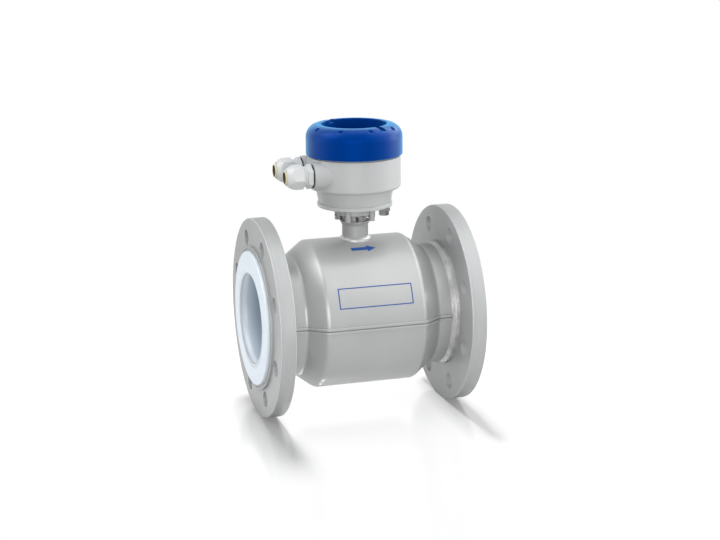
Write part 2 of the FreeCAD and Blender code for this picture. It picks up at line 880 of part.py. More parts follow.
def make_hex_screw(label, flats, head, shank_radius, grip, spot, angle=0):
    """A hexagon-head screw that points up, with its head's seat at a spot."""
    body = new_body(label)
    sketch = new_sketch(body, f"{label}_hexagon", "XY_Plane")
    add_loop(sketch, hexagon(flats))
    pad(body, f"{label}_head", sketch, head, backwards=True)
    sketch = new_sketch(body, f"{label}_circle", "XY_Plane")
    add_circle(sketch, shank_radius)
    pad(body, f"{label}_shank", sketch, grip)
    place(body, *spot, angle=angle)
    return body


def ring_spots(count, circle, level):
    """Evenly spaced spots on a circle, each with its index and its angle."""
    for index in range(int(count.value)):
        angle = WHOLE_TURN / count * index
        yield index, angle.value, (circle * cosine(angle), circle * sine(angle), level)


def make_neck_screws():
    seat = plate_bottom - s.lock_washer_depth
    screws = []
    for index, angle, spot in ring_spots(s.neck_screw_count, screw_circle, seat):
        screws.append(make_hex_screw(f"neck_screw_{index}", s.neck_screw_flats, s.neck_screw_head,
                                     s.neck_screw_radius, floor_top - seat, spot, angle))
    return group("neck_screws", screws)


def make_lock_washers():
    rings = []
    seat = plate_bottom - s.lock_washer_depth
    for index, _, spot in ring_spots(s.neck_screw_count, screw_circle, seat):
        body = new_body(f"lock_washer_{index}")
        turn(body, f"{body.Label}_ring",
             rectangle(s.neck_screw_radius + s.screw_fit, s.lock_washer_radius,
                       0 * s.lock_washer_depth, s.lock_washer_depth), about="Z")
        place(body, *spot)
        rings.append(body)
    return group("neck_lock_washers", rings)


# --------------------------------------------------------------- housing


def is_boss_root(edge):
    """Whether an edge is where a cable entry boss meets the outside wall."""
    first, last = edge.ParameterRange
    for step in range(5):
        point = edge.valueAt(first + (last - first) * step / 4)
        boss = math.hypot(abs(point.y) - s.entry_offset.value, point.z - entry_level.value)
        wall = math.hypot(point.x, point.y)
        if abs(boss - entry_boss_radius.value) > 0.05 or abs(wall - housing_radius.value) > 0.05:
            return False
    return True


def make_housing():
    """The die-cast converter housing with its two cable entry bosses."""
    body = new_body("converter_housing")
    groove_top = ring_groove_bottom + s.ring_groove_height
    groove_floor = collar_radius - s.ring_groove_depth
    sketch = new_sketch(body, "ground_pad_circle", "XY_Plane", offset=housing_bottom + s.housing_floor / 2)
    add_circle(sketch, s.ground_pad_radius, ground_offset)
    turn(body, "housing_casting", [
        (neck_inner, housing_bottom),
        (s.housing_rim_radius, housing_bottom, s.housing_edge_round),
        (s.housing_rim_radius, rim_top, s.housing_edge_round),
        (waist_radius, rim_top),
        (waist_top_radius, ledge_bottom, s.housing_edge_round * 2),
        (housing_radius, ledge_top, s.housing_ledge_round),
        (housing_radius, housing_top, s.housing_edge_round),
        (collar_radius, housing_top),
        (collar_radius, ring_groove_bottom),
        (groove_floor, ring_groove_bottom),
        (groove_floor, groove_top),
        (collar_radius, groove_top),
        (collar_radius, collar_top, s.housing_edge_round),
        (neck_inner, collar_top),
    ], about="Z")
    pad(body, "ground_pad", sketch, s.ground_pad_depth + s.housing_floor / 2, backwards=True)
    sketch = new_sketch(body, "entry_boss_circles", "YZ_Plane", offset=-entry_end)
    for side in (-1, 1):
        add_circle(sketch, entry_boss_radius, side * s.entry_offset, entry_level)
    pad(body, "entry_bosses", sketch, entry_end - housing_radius + s.entry_boss_root)
    dress(body, "Fillet", "entry_boss_roots", s.entry_boss_round, is_boss_root)
    cavity = new_sketch(body, "cavity_profile", "XZ_Plane")
    over = collar_top + s.collar_wall
    add_loop(cavity, [
        (0, floor_top), (housing_well, floor_top), (housing_well, board_ledge),
        (collar_inner, board_ledge), (collar_inner, over), (0, over)])
    hollow = feature(body, "Groove", "cavity", cavity)
    hollow.ReferenceAxis = (cavity, ["V_Axis"])
    hollow.Angle = WHOLE_TURN
    sketch = new_sketch(body, "entry_hole_circles", "YZ_Plane", offset=s.entry_boss_root - housing_radius)
    for side in (-1, 1):
        add_circle(sketch, entry_hole_radius, side * s.entry_offset, entry_level)
    cut(body, "entry_holes", sketch, depth=entry_end)
    hole = add_screw_ring(body, "housing_screw_hole", s.neck_screw_radius)
    repeat(body, "housing_screw_holes", hole, "Z_Axis", s.neck_screw_count)
    sketch = new_sketch(body, "ground_hole_circle", "XY_Plane", offset=ground_seat)
    add_circle(sketch, s.ground_screw_radius, ground_offset)
    cut(body, "ground_hole", sketch, depth=s.ground_screw_grip, backwards=True)
    sketch = new_sketch(body, "board_screw_circle", "XY_Plane", offset=board_ledge)
    add_circle(sketch, s.board_screw_radius, board_screw_circle)
    hole = cut(body, "board_screw_hole", sketch, depth=s.board_screw_length)
    repeat(body, "board_screw_holes", hole, "Z_Axis", s.board_screw_count)
    return body


def make_ground_clamp():
    """The square clamp plate of the outside ground terminal."""
    body = new_body("ground_clamp")
    half = s.ground_clamp_width / 2
    sketch = new_sketch(body, "clamp_square", "XY_Plane")
    add_loop(sketch, rectangle(-half, half, -half, half, s.housing_edge_round))
    add_circle(sketch, s.ground_screw_radius + s.screw_fit)
    pad(body, "clamp_plate", sketch, s.ground_clamp_depth)
    place(body, ground_offset, 0, ground_seat - s.ground_clamp_depth)
    return body


def make_ground_screw():
    seat = ground_seat - s.ground_clamp_depth
    grip = s.ground_clamp_depth + s.ground_screw_grip
    return make_hex_screw("ground_screw", s.ground_screw_flats, s.ground_screw_head,
                          s.ground_screw_radius, grip, (ground_offset, 0, seat))


# ------------------------------------------------------------ electronics


def make_board():
    body = new_body("main_circuit_board")
    turn(body, "board_disc", rectangle(s.board_hole_radius, board_radius,
                                       board_ledge, board_top), about="Z")
    sketch = new_sketch(body, "board_hole_circle", "XY_Plane", offset=board_top)
    add_circle(sketch, s.board_screw_radius, board_screw_circle)
    hole = cut(body, "board_hole", sketch, depth=s.board_depth * 2)
    repeat(body, "board_holes", hole, "Z_Axis", s.board_screw_count)
    return body


def make_board_screws():
    screws = []
    for index, _, spot in ring_spots(s.board_screw_count, board_screw_circle, board_top):
        body = new_body(f"board_screw_{index}")
        head = s.board_screw_head
        shank = s.board_depth + s.board_screw_length
        turn(body, f"{body.Label}_form", [
            (0, -shank), (s.board_screw_radius, -shank), (s.board_screw_radius, 0 * head),
            (s.board_screw_head_radius, 0 * head), (s.board_screw_head_radius, head, head / 3),
            (0, head)], about="Z")
        place(body, *spot)
        screws.append(body)
    return group("board_screws", screws)


def make_power_module():
    """The potted coil driver and power supply block."""
    block = doc.addObject("Part::Box", "power_block")
    bind(block, "Length", s.power_length)
    bind(block, "Width", s.power_width)
    bind(block, "Height", s.power_height)
    place(block, -s.power_length / 3, -s.power_width / 2, board_top)
    doc.recompute()
    rounded = doc.addObject("Part::Chamfer", "power_module")
    rounded.Label = "power_module"
    rounded.Base = block
    edges = [i for i, e in enumerate(block.Shape.Edges, start=1)
             if e.BoundBox.ZLength < 1 and e.BoundBox.ZMin > board_top.value + 1]
    bevel = s.board_depth.value
    rounded.Edges = [(i, bevel, bevel) for i in edges]
    return rounded


def make_terminal_block():
    body = new_body("terminal_block")
    near, far = -terminal_near, s.terminal_depth - terminal_near
    half = s.terminal_width / 2
    sketch = new_sketch(body, "terminal_plan", "XY_Plane", offset=board_top)
    add_loop(sketch, rectangle(near, far, -half, half))
    pad(body, "terminal_body", sketch, s.terminal_height)
    pitch = s.terminal_width / s.terminal_count
    wells = new_sketch(body, "terminal_wells_plan", "XY_Plane", offset=board_top + s.terminal_height)
    mouths = new_sketch(body, "terminal_mouths_plan", "YZ_Plane", offset=near)
    for index in range(int(s.terminal_count.value)):
        spot = pitch * (index + 0.5) - half
        add_circle(wells, s.terminal_well_radius, near + s.terminal_depth / 2, spot)
        add_circle(mouths, s.terminal_well_radius, spot, board_top + s.terminal_height / 3)
    cut(body, "terminal_wells", wells, depth=s.terminal_well_depth)
    cut(body, "terminal_mouths", mouths, depth=s.terminal_well_depth, backwards=True)
    return body


def clipped_drum(name, radius, flat, low, height):
    """A drum with one flat side towards -X."""
    drum = doc.addObject("Part::Cylinder", f"{name}_drum")
    bind(drum, "Radius", radius)
    bind(drum, "Height", height)
    place(drum, 0, 0, low)
    block = doc.addObject("Part::Box", f"{name}_block")
    bind(block, "Length", flat + radius)
    bind(block, "Width", 2 * radius)
    bind(block, "Height", height)
    place(block, -flat, -radius, low)
    common = doc.addObject("Part::Common", name)
    common.Base = drum
    common.Tool = block
    return common


def make_insert():
    """The plastic hood over the electronics, which carries the display."""
    height = insert_top - board_top
    outer = clipped_drum("insert_outside", s.insert_radius, insert_flat, board_top, height)
    inner = clipped_drum("insert_inside", s.insert_radius - s.insert_wall,
                         insert_flat - s.insert_wall, board_top, height - s.insert_wall)
    hood = doc.addObject("Part::Cut", "insulating_insert")
    hood.Label = "insulating_insert"
    hood.Base = outer
    hood.Tool = inner
    return hood


def make_display():
    body = new_body("display_module")
    turn(body, "display_case", [
        (0, insert_top), (display_radius, insert_top),
        (display_radius, display_top, s.display_round), (0, display_top)], about="Z")
    sketch = new_sketch(body, "pane_recess_plan", "XY_Plane", offset=display_top)
    along, across = s.pane_length / 2, s.pane_width / 2
    add_loop(sketch, rectangle(-along, along, -across, across))
    cut(body, "pane_recess", sketch, depth=s.pane_depth)
    return body


def make_pane():
    body = new_body("display_pane")
    along, across = s.pane_length / 2, s.pane_width / 2
    sketch = new_sketch(body, "pane_plan", "XY_Plane", offset=display_top)
    add_loop(sketch, rectangle(-along, along, -across, across))
    pad(body, "pane_plate", sketch, s.pane_depth, backwards=True)
    return body


# ------------------------------------------------------------- screw cover


def make_cover():
    """The cast screw cover: window well, two key notches and eight scallops."""
    body = new_body("cover")
    window_collar = seat_radius + s.window_collar_wall
    cover_ceiling = collar_top + s.cover_room
    notch_reach = well_radius + s.notch_length
    turn(body, "cover_casting", [
        (cover_inner, cover_bottom, s.cover_edge_round / 2),
        (cover_radius, cover_bottom, s.cover_edge_round),
        (cover_radius, cover_top, s.cover_shoulder_round),
        (well_radius, cover_top, s.cover_edge_round),
        (well_radius, well_floor),
        (lip_radius, well_floor),
        (lip_radius, seat_top),
        (seat_radius, seat_top),
        (seat_radius, seat_bottom),
        (window_collar, seat_bottom),
        (window_collar, cover_ceiling),
        (cover_inner, cover_ceiling),
    ], about="Z")
    half = s.notch_width / 2
    sketch = new_sketch(body, "notch_plan", "XY_Plane", offset=cover_top, turn=s.notch_angle)
    add_loop(sketch, [
        (lip_radius, -half), (notch_reach, -half, half * 0.8),
        (notch_reach, half, half * 0.8), (lip_radius, half)])
    notch = cut(body, "notch", sketch, depth=s.notch_depth)
    repeat(body, "notches", notch, "Z_Axis", s.notch_count)
    lift = s.cover_shoulder_round + s.scallop_radius - s.scallop_depth
    ball_radius = cover_radius - s.cover_shoulder_round + lift * sine(s.scallop_lean)
    ball_level = cover_top - s.cover_shoulder_round + lift * cosine(s.scallop_lean)
    angle = s.notch_angle + WHOLE_TURN / s.notch_count + s.scallop_step
    ball = feature(body, "SubtractiveSphere", "scallop")
    bind(ball, "Radius", s.scallop_radius)
    place(ball, ball_radius * cosine(angle), ball_radius * sine(angle), ball_level)
    repeat(body, "scallops", ball, "Z_Axis", s.scallop_count, s.scallop_step)
    return body


def make_cover_ring():
    """The O-ring in the groove of the housing's collar."""
    ring = doc.addObject("Part::Torus", "cover_o_ring")
    ring.Label = "cover_o_ring"
    bind(ring, "Radius1", collar_radius - s.ring_groove_depth + s.ring_section)
    bind(ring, "Radius2", s.ring_section)
    place(ring, 0, 0, ring_groove_bottom + s.ring_groove_height / 2)
    return ring


def make_window_pieces():
    """The gasket, the glass and the retaining ring, from the lip downwards."""
    outer = seat_radius - s.window_fit
    glass_top = seat_top - s.window_gasket_depth
    glass_bottom = glass_top - s.window_depth
    pieces = []
    for label, inner, top, bottom in (
            ("window_gasket", lip_radius, seat_top, glass_top),
            ("window_glass", 0, glass_top, glass_bottom),
            ("window_retainer", lip_radius, glass_bottom, seat_bottom)):
        body = new_body(label)
        turn(body, f"{label}_ring", rectangle(inner, outer, bottom, top), about="Z")
        pieces.append(body)
    return pieces


# ------------------------------------------------------------ cable glands


def fit_gland(body, side):
    """Point a piece built along +X outwards from one of the entry bosses."""
    place(body, -entry_end, side * s.entry_offset, entry_level, angle=180)


def make_gland_gasket(label, side):
    body = new_body(label)
    turn(body, f"{label}_ring", [
        (0, entry_hole_radius), (0, s.gland_gasket_radius, s.gland_gasket_depth / 2.5),
        (s.gland_gasket_depth, s.gland_gasket_radius, s.gland_gasket_depth / 2.5),
        (s.gland_gasket_depth, entry_hole_radius)])
    fit_gland(body, side)
    return body


def make_gland_body(label, side):
    """Entry thread, hexagon, neck and slotted collet in one moulding."""
    body = new_body(label)
    collet_outer = collet_bore + s.collet_wall
    seal_floor = gland_neck_end - s.collet_wall
    turn(body, f"{label}_form", [
        (-s.gland_thread_length, s.gland_bore_radius),
        (-s.gland_thread_length, s.gland_thread_radius, s.collet_wall / 3),
        (s.gland_gasket_depth, s.gland_thread_radius),
        (s.gland_gasket_depth, s.gland_shoulder_radius),
        (gland_neck_start, s.gland_shoulder_radius, s.collet_wall / 3),
        (gland_neck_start, s.gland_neck_radius),
        (gland_neck_end, s.gland_neck_radius, s.collet_wall / 3),
        (gland_neck_end, collet_outer),
        (collet_end - s.collet_wall, collet_outer),
        (collet_end, collet_outer - s.collet_wall / 2),
        (collet_end, collet_bore),
        (seal_floor, collet_bore),
        (seal_floor, s.gland_bore_radius),
    ])
    sketch = new_sketch(body, f"{label}_hexagon", "YZ_Plane", offset=s.gland_gasket_depth)
    rounding = s.gland_hex_depth / 5
    add_loop(sketch, [corner + (rounding,) for corner in hexagon(s.gland_flats)])
    add_circle(sketch, s.gland_thread_radius)
    pad(body, f"{label}_flange", sketch, s.gland_hex_depth)
    sketch = new_sketch(body, f"{label}_slot_plan", "XZ_Plane")
    start = gland_neck_end + s.collet_wall
    add_loop(sketch, rectangle(start, collet_end + s.collet_wall,
                               s.gland_bore_radius, s.gland_neck_radius))
    slot = cut(body, f"{label}_slot", sketch, depth=s.collet_slot, centred=True)
    repeat(body, f"{label}_slots", slot, "X_Axis", s.collet_count)
    fit_gland(body, side)
    return body


def make_gland_seal(label, side):
    """The rubber sleeve, whose nose stands out of the mouth of the nut."""
    body = new_body(label)
    floor = gland_neck_end - s.collet_wall + s.seal_fit
    nose_end = nut_end + s.seal_nose_proud
    turn(body, f"{label}_sleeve", [
        (floor, s.seal_bore_radius), (floor, s.seal_radius), (collet_end, s.seal_radius),
        (collet_end + s.collet_wall, s.seal_nose_radius),
        (nose_end, s.seal_nose_radius, s.seal_fit), (nose_end, s.seal_bore_radius, s.seal_fit)])
    fit_gland(body, side)
    return body


def make_gland_nut(label, side):
    """The domed hexagon nut that squeezes the collet."""
    body = new_body(label)
    thread = s.gland_neck_radius + s.nut_thread_fit
    room = collet_bore + s.collet_wall + s.nut_thread_fit
    corner = s.gland_flats * HEX_CORNER
    mouth = s.seal_nose_radius + s.nut_mouth_fit
    thread_end = nut_start + s.nut_thread_length
    dome_start = nut_end - s.nut_dome_length
    throat = nut_end - s.nut_throat_depth
    turn(body, f"{label}_form", [
        (nut_start, thread),
        (nut_start, corner, s.collet_wall / 2),
        (dome_start, corner, s.nut_dome_round),
        (nut_end, s.nut_tip_radius, s.collet_wall / 2),
        (nut_end, mouth, s.seal_fit),
        (throat, mouth),
        (collet_end + s.seal_fit, room),
        (thread_end, room),
        (thread_end, thread),
    ])
    sketch = new_sketch(body, f"{label}_flats_plan", "YZ_Plane")
    add_circle(sketch, s.gland_flats)
    add_loop(sketch, turned(hexagon(s.gland_flats), s.nut_turn))
    cut(body, f"{label}_flats", sketch, centred=True)
    fit_gland(body, side)
    return body


# ------------------------------------------------------------------ build

parts = [
    make_flange("inlet_flange", -1), make_flange("outlet_flange", 1),
    make_tube(), make_liner(),
    make_half_shell("upper_half_shell", True), make_half_shell("lower_half_shell", False),
    make_shell_weld("inlet_shell_weld", -1), make_shell_weld("outlet_shell_weld", 1),
    make_electrode_springs(), make_electrode_nuts(), make_yoke(),
    make_neck(), make_neck_weld(), make_neck_gasket(), make_neck_screws(), make_lock_washers(),
    make_housing(), make_ground_clamp(), make_ground_screw(),
    make_board(), make_board_screws(), make_power_module(), make_terminal_block(),
    make_insert(), make_display(), make_pane(),
    make_cover(), make_cover_ring(),
]
parts += make_window_pieces()
for side, word in ((-1, "front"), (1, "rear")):
    parts += [make_electrode(f"electrode_{word}", side),
              make_electrode_bush(f"electrode_bush_{word}", side)]
for side, word in ((1, "upper"), (-1, "lower")):
    parts += [make_pole_shoe(f"pole_shoe_{word}", side), make_core(f"core_{word}", side),
              make_bobbin(f"bobbin_{word}", side), make_coil(f"coil_{word}", side)]
for side, word in ((-1, "front"), (1, "rear")):
    parts += [make_gland_gasket(f"gland_gasket_{word}", side),
              make_gland_body(f"gland_body_{word}", side),
              make_gland_seal(f"gland_seal_{word}", side),
              make_gland_nut(f"gland_nut_{word}", side)]

doc.recompute()
failed = [item.Label for item in doc.Objects if {"Invalid", "Error"} & set(item.State)]
if failed:
    raise RuntimeError("objects failed to build: " + ", ".join(failed))
for part in parts:
    if part.Shape.isNull() or not part.Shape.isValid() or not part.Shape.Solids:
        raise RuntimeError(f"{part.Label} has no valid solid")

os.makedirs("parts", exist_ok=True)
for part in parts:
    part.Shape.exportStep(f"parts/{part.Label}.step")
    box = part.Shape.optimalBoundingBox(False, False)
    print(f"{part.Label}: {len(part.Shape.Solids)} solid(s), {part.Shape.Volume:.0f} mm3, "
          f"x {box.XMin:.1f}..{box.XMax:.1f}, y {box.YMin:.1f}..{box.YMax:.1f}, "
          f"z {box.ZMin:.1f}..{box.ZMax:.1f}")
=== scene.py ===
"""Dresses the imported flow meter: its finishes, its small pieces and its stage."""

import logging
import math
from abc import ABC, abstractmethod
from dataclasses import dataclass, field
from enum import Enum
from functools import cache
from typing import Callable, Iterable, Optional, Union

import bmesh
import bpy
from mathutils import Matrix, Vector


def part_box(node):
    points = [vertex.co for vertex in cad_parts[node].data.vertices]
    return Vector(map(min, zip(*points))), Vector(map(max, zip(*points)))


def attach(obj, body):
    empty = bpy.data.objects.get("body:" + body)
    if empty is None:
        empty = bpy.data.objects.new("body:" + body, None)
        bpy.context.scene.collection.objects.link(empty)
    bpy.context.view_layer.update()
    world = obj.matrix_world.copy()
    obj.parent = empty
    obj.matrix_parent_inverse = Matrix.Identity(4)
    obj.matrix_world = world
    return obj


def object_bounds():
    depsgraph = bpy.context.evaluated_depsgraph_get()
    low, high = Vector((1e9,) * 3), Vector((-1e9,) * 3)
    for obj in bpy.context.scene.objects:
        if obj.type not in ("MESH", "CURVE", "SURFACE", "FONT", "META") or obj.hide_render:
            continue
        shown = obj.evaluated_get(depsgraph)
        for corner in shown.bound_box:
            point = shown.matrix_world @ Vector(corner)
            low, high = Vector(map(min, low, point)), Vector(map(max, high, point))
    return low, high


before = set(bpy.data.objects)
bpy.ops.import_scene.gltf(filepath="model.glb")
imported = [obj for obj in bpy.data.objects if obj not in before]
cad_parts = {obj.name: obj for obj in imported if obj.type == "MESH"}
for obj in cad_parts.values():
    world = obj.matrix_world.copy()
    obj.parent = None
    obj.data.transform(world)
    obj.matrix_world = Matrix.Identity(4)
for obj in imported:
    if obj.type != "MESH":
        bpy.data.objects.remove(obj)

log = logging.getLogger("flow_meter")

MM = 0.001
CAD_BOX = [[float(value) for value in corner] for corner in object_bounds()]

Colour = tuple[float, float, float]
Number = Union[float, "Value"]
Node = bpy.types.Node
Socket = bpy.types.NodeSocket
Material = bpy.types.Material


# ---- shader maths


class Value:
    """A number in a shader, on which Python's arithmetic adds Math nodes."""

    def __init__(self, graph: "Graph", socket: Socket) -> None:
        """Wraps a socket.

        Args:
            graph: The node graph that the socket belongs to.
            socket: The output socket that carries the number.
        """
        self.graph = graph
        self.socket = socket

    def maths(self, operation: str, *others: Number, first: bool = True) -> "Value":
        """Adds one Math node.

        Args:
            operation: The node's operation.
            others: The other operands.
            first: Whether this value is the first operand.

        Returns:
            The node's result.
        """
        operands = [self, *others] if first else [*others, self]
        node = self.graph.node("ShaderNodeMath", {"operation": operation}, dict(enumerate(operands)))
        return Value(self.graph, node.outputs[0])

    def __add__(self, other: Number) -> "Value":
        """Adds a number."""
        return self.maths("ADD", other)

    def __sub__(self, other: Number) -> "Value":
        """Takes a number away."""
        return self.maths("SUBTRACT", other)

    def __rsub__(self, other: Number) -> "Value":
        """Takes this value away from a number."""
        return self.maths("SUBTRACT", other, first=False)

    def __mul__(self, other: Number) -> "Value":
        """Multiplies by a number."""
        return self.maths("MULTIPLY", other)

    def __truediv__(self, other: Number) -> "Value":
        """Divides by a number."""
        return self.maths("DIVIDE", other)

    def __rtruediv__(self, other: Number) -> "Value":
        """Divides a number by this value."""
        return self.maths("DIVIDE", other, first=False)

    def __lt__(self, other: Number) -> "Value":
        """Gives 1 where this value is the smaller one, otherwise 0."""
        return self.maths("LESS_THAN", other)

    def __abs__(self) -> "Value":
        """Gives the size of this value without its sign."""
        return self.maths("ABSOLUTE")

    __radd__ = __add__
    __rmul__ = __mul__

    def sine(self) -> "Value":
        """Gives the sine of this value in radians."""
        return self.maths("SINE")

    def fraction(self) -> "Value":
        """Gives what is left of this value above the whole number below it."""
        return self.maths("FRACT")

    def root(self) -> "Value":
        """Gives the square root of this value."""
        return self.maths("SQRT")

    def within(self, low: float, high: float) -> "Value":
        """Gives 0 at the low end, 1 at the high end and a smooth run between.

        Args:
            low: Where the result is 0.
            high: Where the result is 1.

        Returns:
            The value mapped to the range from 0 to 1.
        """
        node = self.graph.node(
            "ShaderNodeMapRange",
            {"interpolation_type": "SMOOTHSTEP", "clamp": True},
            {"Value": self, "From Min": low, "From Max": high},
        )
        return Value(self.graph, node.outputs[0])


class Graph:
    """The node graph of a material or of the world."""

    def __init__(self, owner: Union[Material, bpy.types.World]) -> None:
        """Empties the owner's node tree.

        Args:
            owner: What the nodes belong to.
        """
        owner.use_nodes = True
        self.owner = owner
        self.tree = owner.node_tree
        self.tree.nodes.clear()
        self._place: Optional[Socket] = None

    @classmethod
    def for_material(cls, name: str) -> "Graph":
        """Makes a new material with an empty graph.

        Args:
            name: The material's name.

        Returns:
            The graph.
        """
        return cls(bpy.data.materials.new(name))

    def node(self, kind: str, settings: Optional[dict] = None,
             inputs: Optional[dict] = None) -> Node:
        """Adds one node.

        Args:
            kind: The node's type.
            settings: Its settings, which are set before its sockets.
            inputs: Its sockets' names or numbers, with values or links.

        Returns:
            The new node.
        """
        node = self.tree.nodes.new(kind)
        for name, value in (settings or {}).items():
            setattr(node, name, value)
        for name, value in (inputs or {}).items():
            self.join(node.inputs[name], value)
        return node

    def join(self, socket: Socket, value: object) -> None:
        """Links a socket, or sets its value.

        Args:
            socket: The input socket.
            value: A Value, an output socket, a colour or a number.
        """
        if isinstance(value, Value):
            self.tree.links.new(value.socket, socket)
        elif isinstance(value, Socket):
            self.tree.links.new(value, socket)
        elif socket.type == "RGBA" and len(value) == 3:
            socket.default_value = (*value, 1.0)
        else:
            socket.default_value = value

    def place(self) -> Socket:
        """Gives the position on the object, in metres."""
        if self._place is None:
            self._place = self.node("ShaderNodeTexCoord").outputs["Object"]
        return self._place

    def along(self) -> tuple["Value", "Value", "Value"]:
        """Gives the position as three numbers."""
        node = self.node("ShaderNodeSeparateXYZ", inputs={0: self.place()})
        return tuple(Value(self, output) for output in node.outputs)

    def vector(self, x: Number, y: Number, z: Number) -> Socket:
        """Joins three numbers into a vector.

        Args:
            x: Along X.
            y: Along Y.
            z: Along Z.

        Returns:
            The vector's socket.
        """
        return self.node("ShaderNodeCombineXYZ", inputs={0: x, 1: y, 2: z}).outputs[0]

    def around(self, axis: "Axis") -> tuple["Value", "Value", "Value"]:
        """Gives the position as turning coordinates.

        Args:
            axis: The axis that the piece was turned about.

        Returns:
            The place along the axis, the radius and the angle.
        """
        x, y, z = self.along()
        length, across, up = {Axis.PIPE: (x, y, z), Axis.UPRIGHT: (z, x, y)}[axis]
        radius = (across * across + up * up).root()
        angle = up.maths("ARCTAN2", across)
        return length, radius, angle

    def noise(self, scale: float, detail: float = 2.0, rough: float = 0.5,
              place: Optional[Socket] = None) -> "Value":
        """Adds a noise texture.

        Args:
            scale: How many blotches to a metre, or to a unit of the place.
            detail: How many finer layers there are.
            rough: How strong the finer layers are.
            place: The vector to read instead of the position.

        Returns:
            The noise, from 0 to 1.
        """
        node = self.node("ShaderNodeTexNoise", inputs={
            "Vector": place or self.place(), "Scale": scale, "Detail": detail, "Roughness": rough})
        return Value(self, node.outputs["Fac"])

    def blend(self, factor: Number, first: object, second: object) -> Socket:
        """Mixes two colours.

        Args:
            factor: How much of the second colour there is.
            first: A colour or a colour socket.
            second: A colour or a colour socket.

        Returns:
            The mixed colour's socket.
        """
        node = self.node("ShaderNodeMix", {"data_type": "RGBA"}, {0: factor, 6: first, 7: second})
        return node.outputs[2]

    def bump(self, height: "Value", depth: float, strength: float = 1.0,
             normal: Optional[Socket] = None) -> Socket:
        """Adds a bump.

        Args:
            height: The height, from 0 to 1.
            depth: How deep the relief is, in metres.
            strength: How much of it shows.
            normal: A normal that it is laid over.

        Returns:
            The normal's socket.
        """
        inputs = {"Height": height, "Distance": depth, "Strength": strength}
        if normal is not None:
            inputs["Normal"] = normal
        return self.node("ShaderNodeBump", inputs=inputs).outputs[0]

    def surface(self, **sockets: object) -> Material:
        """Closes the graph with a Principled shader.

        Args:
            sockets: The shader's sockets, with underscores for spaces.

        Returns:
            The finished material.
        """
        inputs = {name.replace("_", " "): value for name, value in sockets.items()}
        shader = self.node("ShaderNodeBsdfPrincipled", inputs=inputs)
        self.node("ShaderNodeOutputMaterial", inputs={"Surface": shader.outputs[0]})
        return self.owner

    def mixed(self, factor: "Value", first: Node, second: Node) -> Node:
        """Mixes two shaders.

        Args:
            factor: How much of the second shader there is.
            first: A shader's node.
            second: A shader's node.

        Returns:
            The Mix Shader node.
        """
        inputs = {0: factor, 1: first.outputs[0], 2: second.outputs[0]}
        return self.node("ShaderNodeMixShader", inputs=inputs)

    def seen(self) -> "Value":
        """Gives 1 for what the camera sees, also in a reflection or through glass."""
        path = self.node("ShaderNodeLightPath")
        camera, glossy, through = (
            Value(self, path.outputs[f"Is {kind} Ray"]) for kind in ("Camera", "Glossy", "Transmission"))
        return camera.maths("MAXIMUM", glossy).maths("MAXIMUM", through)


class Axis(Enum):
    """The axes that the meter's round pieces were turned about."""

    PIPE = "pipe"
    UPRIGHT = "upright"


def shade(colour: Colour, factor: float) -> Colour:
    """Darkens or lightens a colour.

    Args:
        colour: The colour.
        factor: What it is multiplied by.

    Returns:
        The new colour, white at most.
    """
    return tuple(min(1.0, part * factor) for part in colour)


# ---- finishes


@dataclass(frozen=True)
class Finish(ABC):
    """The surface of one or more pieces."""

    name: str
    colour: Colour

    @abstractmethod
    def material(self) -> Material:
        """Builds the finish as a material."""

    def mottled(self, graph: Graph, factor: Value, dark: float, light: float) -> Socket:
        """Varies the finish's colour between two tones.

        Args:
            graph: The material's graph.
            factor: How light each place is, from 0 to 1.
            dark: The darkest tone, as a share of the colour.
            light: The lightest tone, as a share of the colour.

        Returns:
            The colour's socket.
        """
        return graph.blend(factor, shade(self.colour, dark), shade(self.colour, light))


@cache
def made(finish: Finish) -> Material:
    """Builds a finish once, however many pieces have it.

    Args:
        finish: The finish.

    Returns:
        Its material.
    """
    return finish.material()


@dataclass(frozen=True)
class TurnedSteel(Finish):
    """Steel with fine rings left by a lathe tool."""

    roughness: float = 0.42
    metallic: float = 0.85
    axis: Axis = Axis.PIPE
    ring_pitch: float = 0.45 * MM
    ring_depth: float = 0.012 * MM

    def rings(self, graph: Graph, spokes: float) -> Socket:
        """Gives the position in rings, where a noise runs round the piece.

        Args:
            graph: The material's graph.
            spokes: How often the noise changes along a ring.

        Returns:
            The position's socket.
        """
        length, radius, angle = graph.around(self.axis)
        return graph.vector(length / self.ring_pitch, radius / self.ring_pitch, angle * spokes)

    def material(self) -> Material:
        """Builds the finish.

        Returns:
            The material.
        """
        graph = Graph.for_material(self.name)
        streaks = graph.noise(1.0, 3.0, 0.6, self.rings(graph, 5))
        clouds = graph.noise(28.0, 3.0)
        colour = self.mottled(graph, streaks * 0.55 + clouds * 0.45, dark=0.86, light=1.12)
        roughness = self.roughness - 0.07 + streaks * 0.14
        return graph.surface(Base_Color=colour, Metallic=self.metallic, Roughness=roughness,
                             Normal=graph.bump(streaks, self.ring_depth, 0.6))


